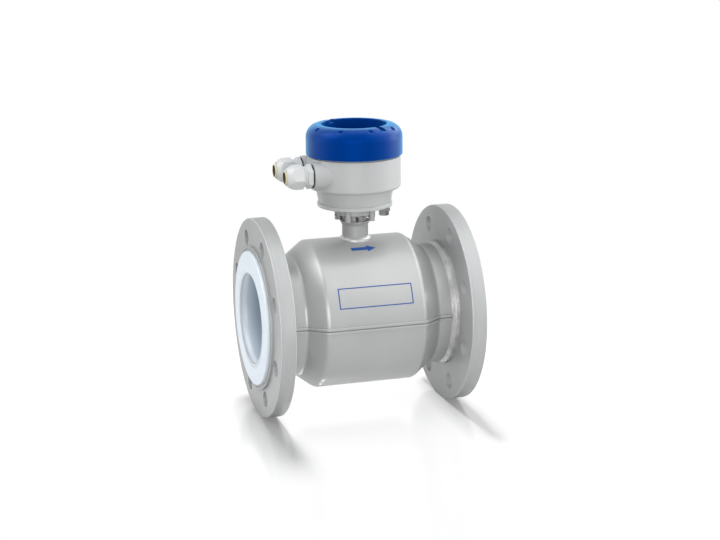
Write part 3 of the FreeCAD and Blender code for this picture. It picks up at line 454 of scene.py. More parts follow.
@dataclass(frozen=True)
class FlangeSteel(TurnedSteel):
    """Turned steel with painted highlights along its corners and on the walls of its holes, and a painted
    highlight sweeping round its faces.
    """

    corners: tuple[tuple[float, float], ...] = ()
    corner_width: float = 0.9 * MM
    bolt_circle: float = 90 * MM
    bolt_radius: float = 9.3 * MM
    bolts: int = 8
    hole_highlight: float = 0.3
    highlight_tone: float = 1.5
    gloss: float = 0.12
    highlight_angle: float = math.radians(155)

    def painted_highlights(self, graph: Graph) -> Value:
        """Gives 1 along the corners, less in the bolt holes and 0 elsewhere.

        Args:
            graph: The material's graph.

        Returns:
            How strong the painted highlight is.
        """
        length, radius, angle = graph.around(self.axis)
        turn = (angle / (2 * math.pi) * self.bolts).fraction() - 0.5
        swing = turn * (2 * math.pi / self.bolts)
        across, out = radius * swing.sine(), radius * swing.maths("COSINE") - self.bolt_circle
        hole = (across * across + out * out).root().within(self.bolt_radius + 0.2 * MM, self.bolt_radius)
        # A painted highlight on the bolt holes' walls, and below a painted highlight along each corner
        wear = hole * self.hole_highlight
        for along, away in self.corners:
            step, rise = abs(length) - along, radius - away
            corner = (step * step + rise * rise).root().within(self.corner_width, self.corner_width / 4)
            wear = wear.maths("MAXIMUM", corner)
        return wear

    def material(self) -> Material:
        """Builds the finish.

        Returns:
            The material.
        """
        graph = Graph.for_material(self.name)
        fine = graph.noise(1.0, 2.0, 0.6, self.rings(graph, 3))
        broad = graph.noise(0.3, 2.0, 0.5, self.rings(graph, 2))
        clouds = graph.noise(22.0, 3.0)
        length, radius, angle = graph.around(self.axis)
        # A painted highlight that sweeps round the faces, lighter on one side, as a turned face's reflection
        # falls
        painted_face_highlight = (angle + self.highlight_angle).maths("COSINE") * 0.5 + 0.5
        tone = fine * 0.35 + broad * 0.3 + painted_face_highlight * 0.35
        turned = self.mottled(graph, tone * 0.8 + clouds * 0.2, dark=0.66, light=1.32)
        # The painted highlights lighten the turned colour along the corners and in the holes
        colour = graph.blend(self.painted_highlights(graph), turned, shade(self.colour, self.highlight_tone))
        roughness = self.roughness - 0.09 + broad * 0.18
        return graph.surface(Base_Color=colour, Metallic=self.metallic, Roughness=roughness,
                             Specular_IOR_Level=self.gloss, Normal=graph.bump(fine, self.ring_depth, 0.8))


@dataclass(frozen=True)
class SatinSteel(Finish):
    """Thin drawn sheet steel, blasted to a satin sheen."""

    roughness: float = 0.36
    metallic: float = 0.8
    gloss: float = 0.12
    grain_depth: float = 0.02 * MM
    dent_depth: float = 0.5 * MM

    def material(self) -> Material:
        """Builds the finish.

        Returns:
            The material.
        """
        graph = Graph.for_material(self.name)
        grain = graph.noise(1600.0, 3.0, 0.6)
        clouds = graph.noise(16.0, 4.0, 0.55)
        stains = graph.noise(55.0, 3.0, 0.6).within(0.45, 0.75)
        waves = graph.noise(30.0, 2.0)
        colour = self.mottled(graph, clouds * 0.6 + grain * 0.4, dark=0.86, light=1.12)
        roughness = self.roughness - 0.05 + clouds * 0.06 + stains * 0.05
        dented = graph.bump(waves, self.dent_depth, 0.35)
        return graph.surface(Base_Color=colour, Metallic=self.metallic, Roughness=roughness,
                             Specular_IOR_Level=self.gloss,
                             Normal=graph.bump(grain, self.grain_depth, 0.5, dented))


@dataclass(frozen=True)
class WeldBead(Finish):
    """A welded bead, with a ripple for each step of the torch."""

    axis: Axis = Axis.PIPE
    ripples: int = 150
    roughness: float = 0.3
    metallic: float = 0.5
    wander: float = 14.0
    slant: float = 900.0
    ripple_depth: float = 0.35 * MM
    lump_depth: float = 1.6 * MM

    def material(self) -> Material:
        """Builds the finish.

        Returns:
            The material.
        """
        graph = Graph.for_material(self.name)
        length, radius, angle = graph.around(self.axis)
        wander = graph.noise(45.0, 3.0) * self.wander
        ripple = (angle * self.ripples + wander + abs(length) * self.slant).sine() * 0.5 + 0.5
        lumps = graph.noise(130.0, 3.0, 0.6)
        heat = graph.noise(70.0, 3.0).within(0.45, 0.7)
        run = graph.noise(38.0, 2.0).within(0.35, 0.65)
        colour = self.mottled(graph, lumps * 0.6 + run * 0.4, dark=0.78, light=1.3)
        tinted = graph.blend(heat * 0.4, colour, shade(self.colour, 0.7))
        uneven = graph.bump(lumps, self.lump_depth, 0.6)
        roughness = self.roughness + lumps * 0.15
        return graph.surface(Base_Color=tinted, Metallic=self.metallic, Roughness=roughness,
                             Normal=graph.bump(ripple * run, self.ripple_depth, 0.5, uneven))


@dataclass(frozen=True)
class SmallSteel(Finish):
    """Bright zinc-plated or stainless small parts."""

    roughness: float = 0.32
    metallic: float = 0.95
    grain_depth: float = 0.02 * MM

    def material(self) -> Material:
        """Builds the finish.

        Returns:
            The material.
        """
        graph = Graph.for_material(self.name)
        spots = graph.noise(900.0, 4.0, 0.6)
        clouds = graph.noise(180.0, 2.0)
        colour = self.mottled(graph, clouds, dark=0.75, light=1.15)
        roughness = self.roughness - 0.08 + spots * 0.2
        return graph.surface(Base_Color=colour, Metallic=self.metallic, Roughness=roughness,
                             Normal=graph.bump(spots, self.grain_depth, 0.5))


@dataclass(frozen=True)
class PowderCoat(Finish):
    """Baked powder paint over a die casting, with a fine orange peel."""

    roughness: float = 0.38
    peel_scale: float = 900.0
    peel_depth: float = 0.03 * MM
    gloss: float = 0.5
    gloss_tint: Colour = (1.0, 1.0, 1.0)
    sheen: float = 0.0
    sheen_tint: Colour = (1.0, 1.0, 1.0)
    sheen_roughness: float = 0.35

    def material(self) -> Material:
        """Builds the finish.

        Returns:
            The material.
        """
        graph = Graph.for_material(self.name)
        peel = graph.noise(self.peel_scale, 2.0, 0.5)
        clouds = graph.noise(30.0, 3.0)
        colour = self.mottled(graph, clouds * 0.6 + peel * 0.4, dark=0.93, light=1.07)
        roughness = self.roughness - 0.04 + peel * 0.08
        return graph.surface(Base_Color=colour, Roughness=roughness, Specular_IOR_Level=self.gloss,
                             Specular_Tint=self.gloss_tint, Sheen_Weight=self.sheen,
                             Sheen_Roughness=self.sheen_roughness, Sheen_Tint=self.sheen_tint,
                             Normal=graph.bump(peel, self.peel_depth, 0.7))


@dataclass(frozen=True)
class MouldedPlastic(Finish):
    """Plastic as it leaves the mould, with a faint spark-eroded grain."""

    roughness: float = 0.45
    grain_depth: float = 0.025 * MM
    speckle: float = 0.05

    def material(self) -> Material:
        """Builds the finish.

        Returns:
            The material.
        """
        graph = Graph.for_material(self.name)
        grain = graph.noise(1500.0, 2.0)
        flow = graph.noise(45.0, 3.0)
        colour = self.mottled(graph, flow * 0.6 + grain * 0.4, dark=1 - self.speckle, light=1 + self.speckle)
        return graph.surface(Base_Color=colour, Roughness=self.roughness - 0.05 + grain * 0.1,
                             Normal=graph.bump(grain, self.grain_depth, 0.5))


@dataclass(frozen=True)
class LinerPlastic(Finish):
    """The smooth white lining that the liquid runs over, with soft mouths."""

    shadow: Colour = (0.5, 0.5, 0.5)
    roughness: float = 0.3
    skin_pitch: float = 0.8 * MM
    skin_depth: float = 0.01 * MM
    mouth: float = 121 * MM
    mouth_round: float = 9 * MM
    face_radius: float = 56 * MM
    bore_radius: float = 50 * MM
    shadow_start: float = 1 * MM
    shadow_depth: float = 24 * MM

    def material(self) -> Material:
        """Builds the finish.

        Returns:
            The material.
        """
        graph = Graph.for_material(self.name)
        length, radius, angle = graph.around(Axis.PIPE)
        drawn = graph.vector(length / self.skin_pitch, radius / self.skin_pitch, angle * 4)
        skin = graph.noise(1.0, 3.0, 0.5, drawn)
        clouds = graph.noise(22.0, 2.0)
        depth = abs(length) - self.mouth
        inner = (radius / MM).within(self.face_radius / MM, self.bore_radius / MM)
        deep = (depth / MM).within(-self.shadow_start / MM, -self.shadow_depth / MM) * inner
        colour = self.mottled(graph, clouds * 0.5 + skin * 0.5, dark=0.98, light=1.0)
        shaded = graph.blend(deep, colour, self.shadow)
        # The mouth's rounding, as the height of a quarter circle that falls away to the face
        run = (depth / self.mouth_round + 1.0).maths("MAXIMUM", 0.0).maths("MINIMUM", 0.98)
        fall = (1.0 - run * run).root() * inner
        rounded = graph.bump(fall, self.mouth_round)
        return graph.surface(Base_Color=shaded, Roughness=self.roughness + skin * 0.08,
                             Normal=graph.bump(skin, self.skin_depth, 0.5, rounded))


@dataclass(frozen=True)
class SoftRubber(Finish):
    """Moulded rubber with a dull, slightly dusty skin."""

    roughness: float = 0.6
    dust_depth: float = 0.03 * MM

    def material(self) -> Material:
        """Builds the finish.

        Returns:
            The material.
        """
        graph = Graph.for_material(self.name)
        dust = graph.noise(700.0, 4.0, 0.65)
        colour = self.mottled(graph, dust, dark=0.85, light=1.35)
        return graph.surface(Base_Color=colour, Roughness=self.roughness + dust * 0.15,
                             Normal=graph.bump(dust, self.dust_depth, 0.5))


@dataclass(frozen=True)
class SleeveRubber(Finish):
    """The glands' sleeves, light at the lip, with painted shade down the bore."""

    painted_bore_shade: Colour
    offset: float
    level: float
    bore_radius: float
    edge: float = 0.5 * MM
    roughness: float = 0.5
    dust_depth: float = 0.03 * MM

    def material(self) -> Material:
        """Builds the finish.

        Returns:
            The material.
        """
        graph = Graph.for_material(self.name)
        _, y, z = graph.along()
        across, up = abs(y) - self.offset, z - self.level
        radius = (across * across + up * up).root()
        dust = graph.noise(700.0, 4.0, 0.65)
        lip = self.mottled(graph, dust, dark=0.85, light=1.15)
        outside = radius.within(self.bore_radius, self.bore_radius + self.edge)
        # Inside the bore's radius the colour is painted shade
        colour = graph.blend(outside, self.painted_bore_shade, lip)
        return graph.surface(Base_Color=colour, Roughness=self.roughness + dust * 0.15,
                             Normal=graph.bump(dust, self.dust_depth, 0.5))


@dataclass(frozen=True)
class Winding(Finish):
    """Enamelled copper wire, wound turn beside turn."""

    wire: float = 0.5 * MM

    def material(self) -> Material:
        """Builds the finish.

        Returns:
            The material.
        """
        graph = Graph.for_material(self.name)
        turns = (graph.along()[2] * (2 * math.pi / self.wire)).sine() * 0.5 + 0.5
        sheen = graph.noise(240.0, 2.0)
        colour = self.mottled(graph, turns * 0.7 + sheen * 0.3, dark=0.55, light=1.0)
        return graph.surface(Base_Color=colour, Metallic=0.9, Roughness=0.28 + sheen * 0.1,
                             Normal=graph.bump(turns, self.wire / 2, 0.8))


@dataclass(frozen=True)
class CircuitBoard(Finish):
    """Green solder mask over copper tracks."""

    track: Colour = (0.03, 0.20, 0.07)
    pitch: float = 2.4 * MM
    track_share: float = 0.09
    track_depth: float = 0.04 * MM

    def material(self) -> Material:
        """Builds the finish.

        Returns:
            The material.
        """
        graph = Graph.for_material(self.name)
        cells = graph.node("ShaderNodeTexVoronoi", {"feature": "DISTANCE_TO_EDGE"},
                           {"Vector": graph.place(), "Scale": 1 / self.pitch, "Randomness": 0.25})
        tracks = Value(graph, cells.outputs["Distance"]) < self.track_share
        weave = graph.noise(1200.0, 2.0)
        colour = graph.blend(tracks * 0.6, shade(self.colour, 0.95), self.track)
        return graph.surface(Base_Color=colour, Roughness=0.3 + weave * 0.1,
                             Normal=graph.bump(tracks, self.track_depth, 0.6))


@dataclass(frozen=True)
class ClearPane(Finish):
    """A clear pane that shows what lies behind it."""

    alpha: float = 0.25

    def material(self) -> Material:
        """Builds the finish.

        Returns:
            The material.
        """
        graph = Graph.for_material(self.name)
        smears = graph.noise(60.0, 3.0)
        graph.owner.blend_method = "BLEND"
        return graph.surface(Base_Color=self.colour, Roughness=0.03 + smears * 0.05, Alpha=self.alpha,
                             IOR=1.5, Coat_Weight=1.0, Coat_Roughness=0.02)


@dataclass(frozen=True)
class PrintedInk(Finish):
    """A printed mark with an even, slightly worn film."""

    film_depth: float = 0.01 * MM

    def material(self) -> Material:
        """Builds the finish.

        Returns:
            The material.
        """
        graph = Graph.for_material(self.name)
        film = graph.noise(1100.0, 3.0)
        wear = graph.noise(150.0, 3.0)
        colour = self.mottled(graph, wear * 0.5 + film * 0.5, dark=0.9, light=1.12)
        return graph.surface(Base_Color=colour, Roughness=0.38 + film * 0.1,
                             Normal=graph.bump(film, self.film_depth, 0.4))


TUBE_STEEL = TurnedSteel("tube_steel", (0.55, 0.55, 0.55), 0.35)
CORE_IRON = TurnedSteel("core_iron", (0.30, 0.30, 0.31), 0.45)
SHELL_STEEL = SatinSteel("satin_shell_steel", (0.405, 0.41, 0.41), 0.34, 0.32)
NECK_STEEL = SatinSteel("satin_neck_steel", (0.36, 0.365, 0.36), 0.5, 0.3)
SHELL_BEAD = WeldBead("shell_weld_bead", (0.35, 0.35, 0.345), Axis.PIPE, 150)
NECK_BEAD = WeldBead("neck_weld_bead", (0.60, 0.60, 0.595), Axis.UPRIGHT, 50)
SCREW_STEEL = SmallSteel("screw_steel", (0.22, 0.22, 0.215), 0.3, 0.85)
ELECTRODE_STEEL = SmallSteel("electrode_steel", (0.62, 0.61, 0.59), 0.25)
HOUSING_PAINT = PowderCoat("grey_housing_paint", (0.425, 0.435, 0.435), 0.34)
COVER_PAINT = PowderCoat("blue_cover_paint", (0.0, 0.028, 0.185), 0.3, gloss=0.4,
                         gloss_tint=(0.0, 0.15, 0.9), sheen=1.0, sheen_tint=(0.02, 0.5, 1.0))
GLAND_PLASTIC = MouldedPlastic("grey_gland_plastic", (0.56, 0.57, 0.57), 0.4)
LINER_PLASTIC = LinerPlastic("white_liner_plastic", (0.67, 0.74, 0.81), (0.34, 0.41, 0.49))
BUSH_PLASTIC = MouldedPlastic("white_bush_plastic", (0.80, 0.80, 0.78))
BOBBIN_PLASTIC = MouldedPlastic("black_bobbin_plastic", (0.03, 0.03, 0.03))
MODULE_PLASTIC = MouldedPlastic("black_module_plastic", (0.025, 0.025, 0.03), 0.5)
TERMINAL_PLASTIC = MouldedPlastic("green_terminal_plastic", (0.05, 0.32, 0.12))
INSERT_PLASTIC = MouldedPlastic("grey_insert_plastic", (0.30, 0.31, 0.32))
DISPLAY_PLASTIC = MouldedPlastic("dark_display_plastic", (0.07, 0.075, 0.085))
PANE_PLASTIC = MouldedPlastic("display_pane_film", (0.34, 0.38, 0.33), 0.2, speckle=0.03)
SEAL_RUBBER = SoftRubber("black_seal_rubber", (0.018, 0.018, 0.018))
COIL_WINDING = Winding("copper_winding", (0.75, 0.30, 0.12))
BOARD_MASK = CircuitBoard("green_board", (0.01, 0.10, 0.035), (0.03, 0.20, 0.07))
WINDOW_GLASS = ClearPane("window_glass", (0.55, 0.66, 0.72), 0.25)
MARK_INK = PrintedInk("blue_mark_ink", (0.008, 0.06, 0.26))


def dress(finish: Finish, nodes: Iterable[str]) -> None:
    """Gives a finish to nodes of the frame.

    Args:
        finish: The finish.
        nodes: The nodes' names.
    """
    material = made(finish)
    for name in nodes:
        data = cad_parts[name].data
        data.materials.clear()
        data.materials.append(material)
        log.info("%s: %s", name, finish.name)


# ---- modelling


def deselect_everything() -> None:
    """Leaves edit mode and clears the selection."""
    if bpy.context.object and bpy.context.object.mode != "OBJECT":
        bpy.ops.object.mode_set(mode="OBJECT")
    bpy.ops.object.select_all(action="DESELECT")


def pick(test: Callable[[Vector], bool]) -> None:
    """Selects the points that pass a test, and nothing else, in edit mode.

    Args:
        test: Tells from a point's place whether it is wanted.
    """
    bpy.ops.mesh.select_mode(type="VERT")
    bpy.ops.mesh.select_all(action="DESELECT")
    data = bpy.context.object.data
    mesh = bmesh.from_edit_mesh(data)
    for point in mesh.verts:
        point.select = test(point.co)
    mesh.select_flush(True)
    bmesh.update_edit_mesh(data)


class Piece:
    """A new mesh that is finished with modifiers and then rides on a body."""

    sharp_angle = math.radians(35)

    def __init__(self, name: str) -> None:
        """Takes the object that a primitive has just added.

        Args:
            name: The piece's name.
        """
        self.object = bpy.context.object
        self.object.name = name
        self.object.data.name = name

    def modify(self, kind: str, **settings: object) -> "Piece":
        """Adds one modifier and applies it.

        Args:
            kind: The modifier's type.
            settings: Its settings.

        Returns:
            The piece.
        """
        modifier = self.object.modifiers.new(kind.lower(), kind)
        for name, value in settings.items():
            setattr(modifier, name, value)
        bpy.ops.object.modifier_apply(modifier=modifier.name)
        return self

    def finish(self, finish: Finish, body: str, slot: str) -> None:
        """Puts the piece's place into its mesh, colours it and hangs it on a body.

        Args:
            finish: The finish.
            body: The body that carries the piece.
            slot: Not used.
        """
        if bpy.context.object.mode != "OBJECT":
            bpy.ops.object.mode_set(mode="OBJECT")
        bpy.ops.object.transform_apply(location=True, rotation=True, scale=True)
        bpy.ops.object.shade_smooth_by_angle(angle=self.sharp_angle)
        self.object.data.materials.clear()
        self.object.data.materials.append(made(finish))
        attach(self.object, body)
        log.info("%s: rides on %s", self.object.name, body)


@dataclass
class ShellMark:
    """A flat mark that is printed on the round shell."""

    name: str
    height_angle: float
    along: float = 0.0
    film: float = 0.12 * MM
    clearance: float = 5 * MM
    cuts: int = 7

    def start(self, barrel_radius: float) -> Piece:
        """Adds the plane that the mark is cut from, outside the shell.

        Args:
            barrel_radius: The radius of the shell's barrel.

        Returns:
            The piece, with its plane facing outwards.
        """
        deselect_everything()
        rise = math.radians(self.height_angle)
        reach = barrel_radius + self.clearance
        place = (self.along, -reach * math.cos(rise), reach * math.sin(rise))
        bpy.ops.mesh.primitive_plane_add(size=1, location=place, rotation=(math.pi / 2 - rise, 0, 0))
        return Piece(self.name)

    def wrap(self, piece: Piece) -> Piece:
        """Lays the flat outline on the shell and gives it a film's thickness.

        Args:
            piece: The piece, in edit mode.

        Returns:
            The piece.
        """
        bpy.ops.mesh.select_all(action="SELECT")
        bpy.ops.mesh.subdivide(number_cuts=self.cuts)
        bpy.ops.object.mode_set(mode="OBJECT")
        piece.modify("SHRINKWRAP", target=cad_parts["upper_half_shell"], wrap_method="PROJECT",
                     use_project_z=True, use_negative_direction=True, use_positive_direction=False,
                     offset=self.film / 2)
        return piece.modify("SOLIDIFY", thickness=self.film, offset=1.0)


@dataclass
class FlowArrow(ShellMark):
    """The arrow that shows which way the liquid runs."""

    shaft_length: float = 18 * MM
    shaft_width: float = 5.2 * MM
    head_length: float = 10 * MM
    head_width: float = 11 * MM

    def build(self, barrel_radius: float) -> None:
        """Cuts the arrow's outline and lays it on the shell.

        Args:
            barrel_radius: The radius of the shell's barrel.
        """
        piece = self.start(barrel_radius)
        bpy.ops.object.mode_set(mode="EDIT")
        bpy.ops.transform.resize(value=(self.shaft_length, self.shaft_width, self.shaft_width),
                                 orient_type="LOCAL")
        bpy.ops.transform.translate(value=(-self.head_length / 2, 0, 0))
        end = (self.shaft_length - self.head_length) / 2
        pick(lambda point: point.x > end - self.film)
        bpy.ops.mesh.extrude_region_move(TRANSFORM_OT_translate={"value": (0, 0, 0)})
        widen = self.head_width / self.shaft_width
        bpy.ops.transform.resize(value=(1, widen, 1), orient_type="LOCAL")
        bpy.ops.mesh.extrude_region_move(TRANSFORM_OT_translate={"value": (self.head_length, 0, 0)})
        bpy.ops.mesh.merge(type="CENTER")
        bpy.ops.mesh.select_all(action="SELECT")
        bpy.ops.mesh.remove_doubles(threshold=0.01 * MM)
        self.wrap(piece).finish(MARK_INK, "meter", "cover_blue")


@dataclass
class PanelOutline(ShellMark):
    """The thin outline of the marking panel, whose field is left bare."""

    length: float = 83 * MM
    height: float = 22.8 * MM
    line: float = 1.15 * MM

    def build(self, barrel_radius: float) -> None:
        """Cuts the outline as a frame and lays it on the shell.

        Args:
            barrel_radius: The radius of the shell's barrel.
        """
        piece = self.start(barrel_radius)
        bpy.ops.object.mode_set(mode="EDIT")
        bpy.ops.transform.resize(value=(self.length, self.height, self.height), orient_type="LOCAL")
        bpy.ops.mesh.select_mode(type="FACE")
        bpy.ops.mesh.select_all(action="SELECT")
        bpy.ops.mesh.inset(thickness=self.line)
        bpy.ops.mesh.delete(type="FACE")
        self.wrap(piece).finish(MARK_INK, "meter", "cover_blue")


@dataclass
class Thread:
    """A screw thread: a ridge that winds round a plain cylinder."""

    name: str
    body: str
    slot: str
    finish: Finish
    axis: Axis
    centre: tuple[float, float, float]
    radius: float
    crest: float
    pitch: float
    turns: int
    half_base: float = 0.42
    steps: int = 96

    def build(self) -> None:
        """Winds a three-sided ridge round its cylinder and closes its ends."""
        deselect_everything()
        bpy.ops.mesh.primitive_circle_add(vertices=3, radius=self.pitch / 2, fill_type="NOTHING")
        piece = Piece(self.name)
        bpy.ops.object.mode_set(mode="EDIT")
        bpy.ops.mesh.select_all(action="SELECT")
        # The ridge's section stands in the XZ plane, with its crest outwards
        mesh = bmesh.from_edit_mesh(piece.object.data)
        for index, point in enumerate(sorted(mesh.verts, key=lambda point: -point.co.y)):
            level = (0.0, -self.half_base, self.half_base)[index] * self.pitch
            out = self.radius + (self.crest if index == 0 else -self.crest)
            point.co = (out, 0.0, level)
        bmesh.update_edit_mesh(piece.object.data)
        bpy.ops.object.mode_set(mode="OBJECT")
        piece.modify("SCREW", axis="Z", screw_offset=self.pitch, iterations=self.turns,
                     steps=self.steps, render_steps=self.steps, angle=2 * math.pi,
                     use_normal_calculate=True, use_smooth_shade=False)
        bpy.ops.object.mode_set(mode="EDIT")
        bpy.ops.mesh.select_all(action="DESELECT")
        bpy.ops.mesh.select_mode(type="EDGE")
        bpy.ops.mesh.select_non_manifold()
        bpy.ops.mesh.edge_face_add()
        bpy.ops.mesh.select_all(action="SELECT")
        bpy.ops.mesh.normals_make_consistent(inside=False)
        bpy.ops.object.mode_set(mode="OBJECT")
        if self.axis is Axis.PIPE:
            piece.object.rotation_euler = (0, -math.pi / 2, 0)
        piece.object.location = self.centre
        piece.finish(self.finish, self.body, self.slot)


# ---- sub-assemblies


@dataclass
class PipeEnds:
    """The two flanges, the lined tube between them and their welds."""

    steel: tuple[str, ...] = ("inlet_flange", "outlet_flange")
    beads: tuple[str, ...] = ("inlet_shell_weld", "outlet_shell_weld")
    steel_colour: Colour = (0.372, 0.38, 0.381)
    rim_width: float = 17 * MM

    def build(self) -> None:
        """Dresses the flanges, the tube, the liner and the welds."""
        low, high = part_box("outlet_flange")
        back, rim = low.x, high.z
        corners = ((back, rim), (back + self.rim_width, rim))
        dress(FlangeSteel("turned_flange_steel", self.steel_colour, 0.4, 0.3, ring_pitch=0.9 * MM,
                          ring_depth=0.02 * MM, corners=corners), self.steel)
        dress(TUBE_STEEL, ["measuring_tube"])
        dress(LINER_PLASTIC, ["liner"])
        dress(SHELL_BEAD, self.beads)


@dataclass
class SensorShell:
    """The two drawn half shells with their printed marks."""

    arrow: FlowArrow = field(default_factory=lambda: FlowArrow("flow_arrow", 68.0))
    panel: PanelOutline = field(default_factory=lambda: PanelOutline("panel_outline", 24.0))

    def build(self) -> None:
        """Dresses the shells and lays the marks on the front."""
        dress(SHELL_STEEL, ["upper_half_shell", "lower_half_shell"])
        barrel_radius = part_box("upper_half_shell")[1].z
        self.arrow.build(barrel_radius)
        self.panel.build(barrel_radius)


@dataclass
class CoilSystem:
    """The coils, their iron and the electrodes inside the shell."""

    sides: tuple[str, ...] = ("upper", "lower")
    ends: tuple[str, ...] = ("front", "rear")

    def build(self) -> None:
        """Dresses every piece that the shells close in."""
        iron = [f"{piece}_{side}" for piece in ("core", "pole_shoe") for side in self.sides]
        dress(CORE_IRON, ["yoke_band", *iron])
        dress(COIL_WINDING, [f"coil_{side}" for side in self.sides])
        dress(BOBBIN_PLASTIC, [f"bobbin_{side}" for side in self.sides])
        dress(ELECTRODE_STEEL, ["electrode_springs", "electrode_nuts"])
        dress(ELECTRODE_STEEL, [f"electrode_{end}" for end in self.ends])
        dress(BUSH_PLASTIC, [f"electrode_bush_{end}" for end in self.ends])


@dataclass
class Neck:
    """The neck that carries the converter, with its screws."""

    def build(self) -> None:
        """Dresses the neck and its fasteners."""
        dress(NECK_STEEL, ["neck"])
        dress(NECK_BEAD, ["neck_weld"])
        dress(SEAL_RUBBER, ["neck_gasket"])
        dress(SCREW_STEEL, ["neck_screws", "neck_lock_washers", "ground_clamp", "ground_screw"])


@dataclass
class Converter:
    """The converter housing and the electronics in it."""

    thread_pitch: float = 3 * MM
    thread_crest: float = 0.28 * MM
    thread_turns: int = 3
    thread_relief: float = 1.2 * MM
    collar_step: float = 2.6 * MM

    def build(self) -> None:
        """Dresses the housing and its insides and winds the collar's thread."""
        dress(HOUSING_PAINT, ["converter_housing"])
        dress(BOARD_MASK, ["main_circuit_board"])
        dress(SCREW_STEEL, ["board_screws"])
        dress(MODULE_PLASTIC, ["power_module"])
        dress(TERMINAL_PLASTIC, ["terminal_block"])
        dress(INSERT_PLASTIC, ["insulating_insert"])
        dress(DISPLAY_PLASTIC, ["display_module"])
        dress(PANE_PLASTIC, ["display_pane"])
        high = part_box("converter_housing")[1]
        # The collar stands back from the barrel's outside by one step
        collar_radius = high.x - self.collar_step
        start = high.z - self.thread_turns * self.thread_pitch - self.thread_relief
        Thread("collar_thread", "meter", "housing_grey", HOUSING_PAINT, Axis.UPRIGHT, (0, 0, start),
               collar_radius, self.thread_crest, self.thread_pitch, self.thread_turns).build()


@dataclass
class ScrewCover:
    """The blue screw cover with its window."""

    def build(self) -> None:
        """Dresses the cover, its window and its seals."""
        dress(COVER_PAINT, ["cover"])
        dress(SEAL_RUBBER, ["cover_o_ring", "window_gasket"])
        dress(WINDOW_GLASS, ["window_glass"])
        dress(MODULE_PLASTIC, ["window_retainer"])


@dataclass
class CableGlands:
    """The two cable glands."""

    ends: tuple[str, ...] = ("front", "rear")
    thread_pitch: float = 1.5 * MM
    thread_crest: float = 0.22 * MM
    thread_turns: int = 4
    neck_radius: float = 11 * MM
    neck_gap: float = 4 * MM
    bore_radius: float = 6.2 * MM
    cream: Colour = (0.62, 0.58, 0.42)
    # The dark colour is painted shade down the sleeves' bores
    dark: Colour = (0.10, 0.085, 0.05)

    def build(self) -> None:
        """Dresses the glands and winds the threads that show beside the nuts."""
        dress(GLAND_PLASTIC, [f"gland_{piece}_{end}" for piece in ("body", "nut") for end in self.ends])
        low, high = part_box("gland_seal_rear")
        sleeve = SleeveRubber("cream_sleeve_rubber", self.cream, self.dark, (low.y + high.y) / 2,
                              (low.z + high.z) / 2, self.bore_radius)
        dress(sleeve, [f"gland_seal_{end}" for end in self.ends])
        dress(SEAL_RUBBER, [f"gland_gasket_{end}" for end in self.ends])
        for end in self.ends:
            low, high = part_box(f"gland_nut_{end}")
            start = high.x + self.neck_gap - self.thread_pitch / 2
            centre = (start, (low.y + high.y) / 2, (low.z + high.z) / 2)
            Thread(f"gland_thread_{end}", "meter", "gland_grey", GLAND_PLASTIC, Axis.PIPE, centre,
                   self.neck_radius, self.thread_crest, self.thread_pitch, self.thread_turns).build()


# ---- stage


def outward(azimuth: float, elevation: float) -> Vector:
    """Gives the direction from the meter to a lamp or to the camera.

    Args:
        azimuth: The angle in degrees round the meter, from its front towards its inlet.
        elevation: The angle in degrees above the floor.

    Returns:
        The direction.
    """
    turn, rise = math.radians(azimuth), math.radians(elevation)
    return Vector((-math.sin(turn) * math.cos(rise), -math.cos(turn) * math.cos(rise), math.sin(rise)))


@dataclass
class Lamp:
    """A soft box that points at the meter."""

    name: str
    azimuth: float
    elevation: float
    distance: float
    size: tuple[float, float]
    power: float

    def build(self, aim: Vector) -> bpy.types.Object:
        """Hangs the lamp.

        Args:
            aim: The point that it is turned to.

        Returns:
            The lamp.
        """
        away = outward(self.azimuth, self.elevation)
        data = bpy.data.lights.new(self.name, "AREA")
        data.shape = "RECTANGLE"
        data.size, data.size_y = self.size
        data.energy = self.power
        lamp = bpy.data.objects.new(self.name, data)
        lamp.location = aim + away * self.distance
        lamp.rotation_euler = away.to_track_quat("Z", "Y").to_euler()
        bpy.context.scene.collection.objects.link(lamp)
        return lamp


@dataclass
class FloorLamp(Lamp):
    """A strip behind the meter that lights the floor, where the flanges shade it."""

    shading: tuple[str, ...] = ("inlet_flange", "outlet_flange")

    def build(self, aim: Vector) -> bpy.types.Object:
        """Hangs the lamp and names what it lights and what shades it.

        Args:
            aim: The point that it is turned to.

        Returns:
            The lamp.
        """
        lamp = super().build(aim)
        flanges = [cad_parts[name] for name in self.shading]
        roles = {"receiver": [bpy.data.objects["floor"]], "blocker": flanges}
        for role, members in roles.items():
            group = bpy.data.collections.new(f"{self.name}_{role}s")
            for member in members:
                group.objects.link(member)
            setattr(lamp.light_linking, f"{role}_collection", group)
        return lamp


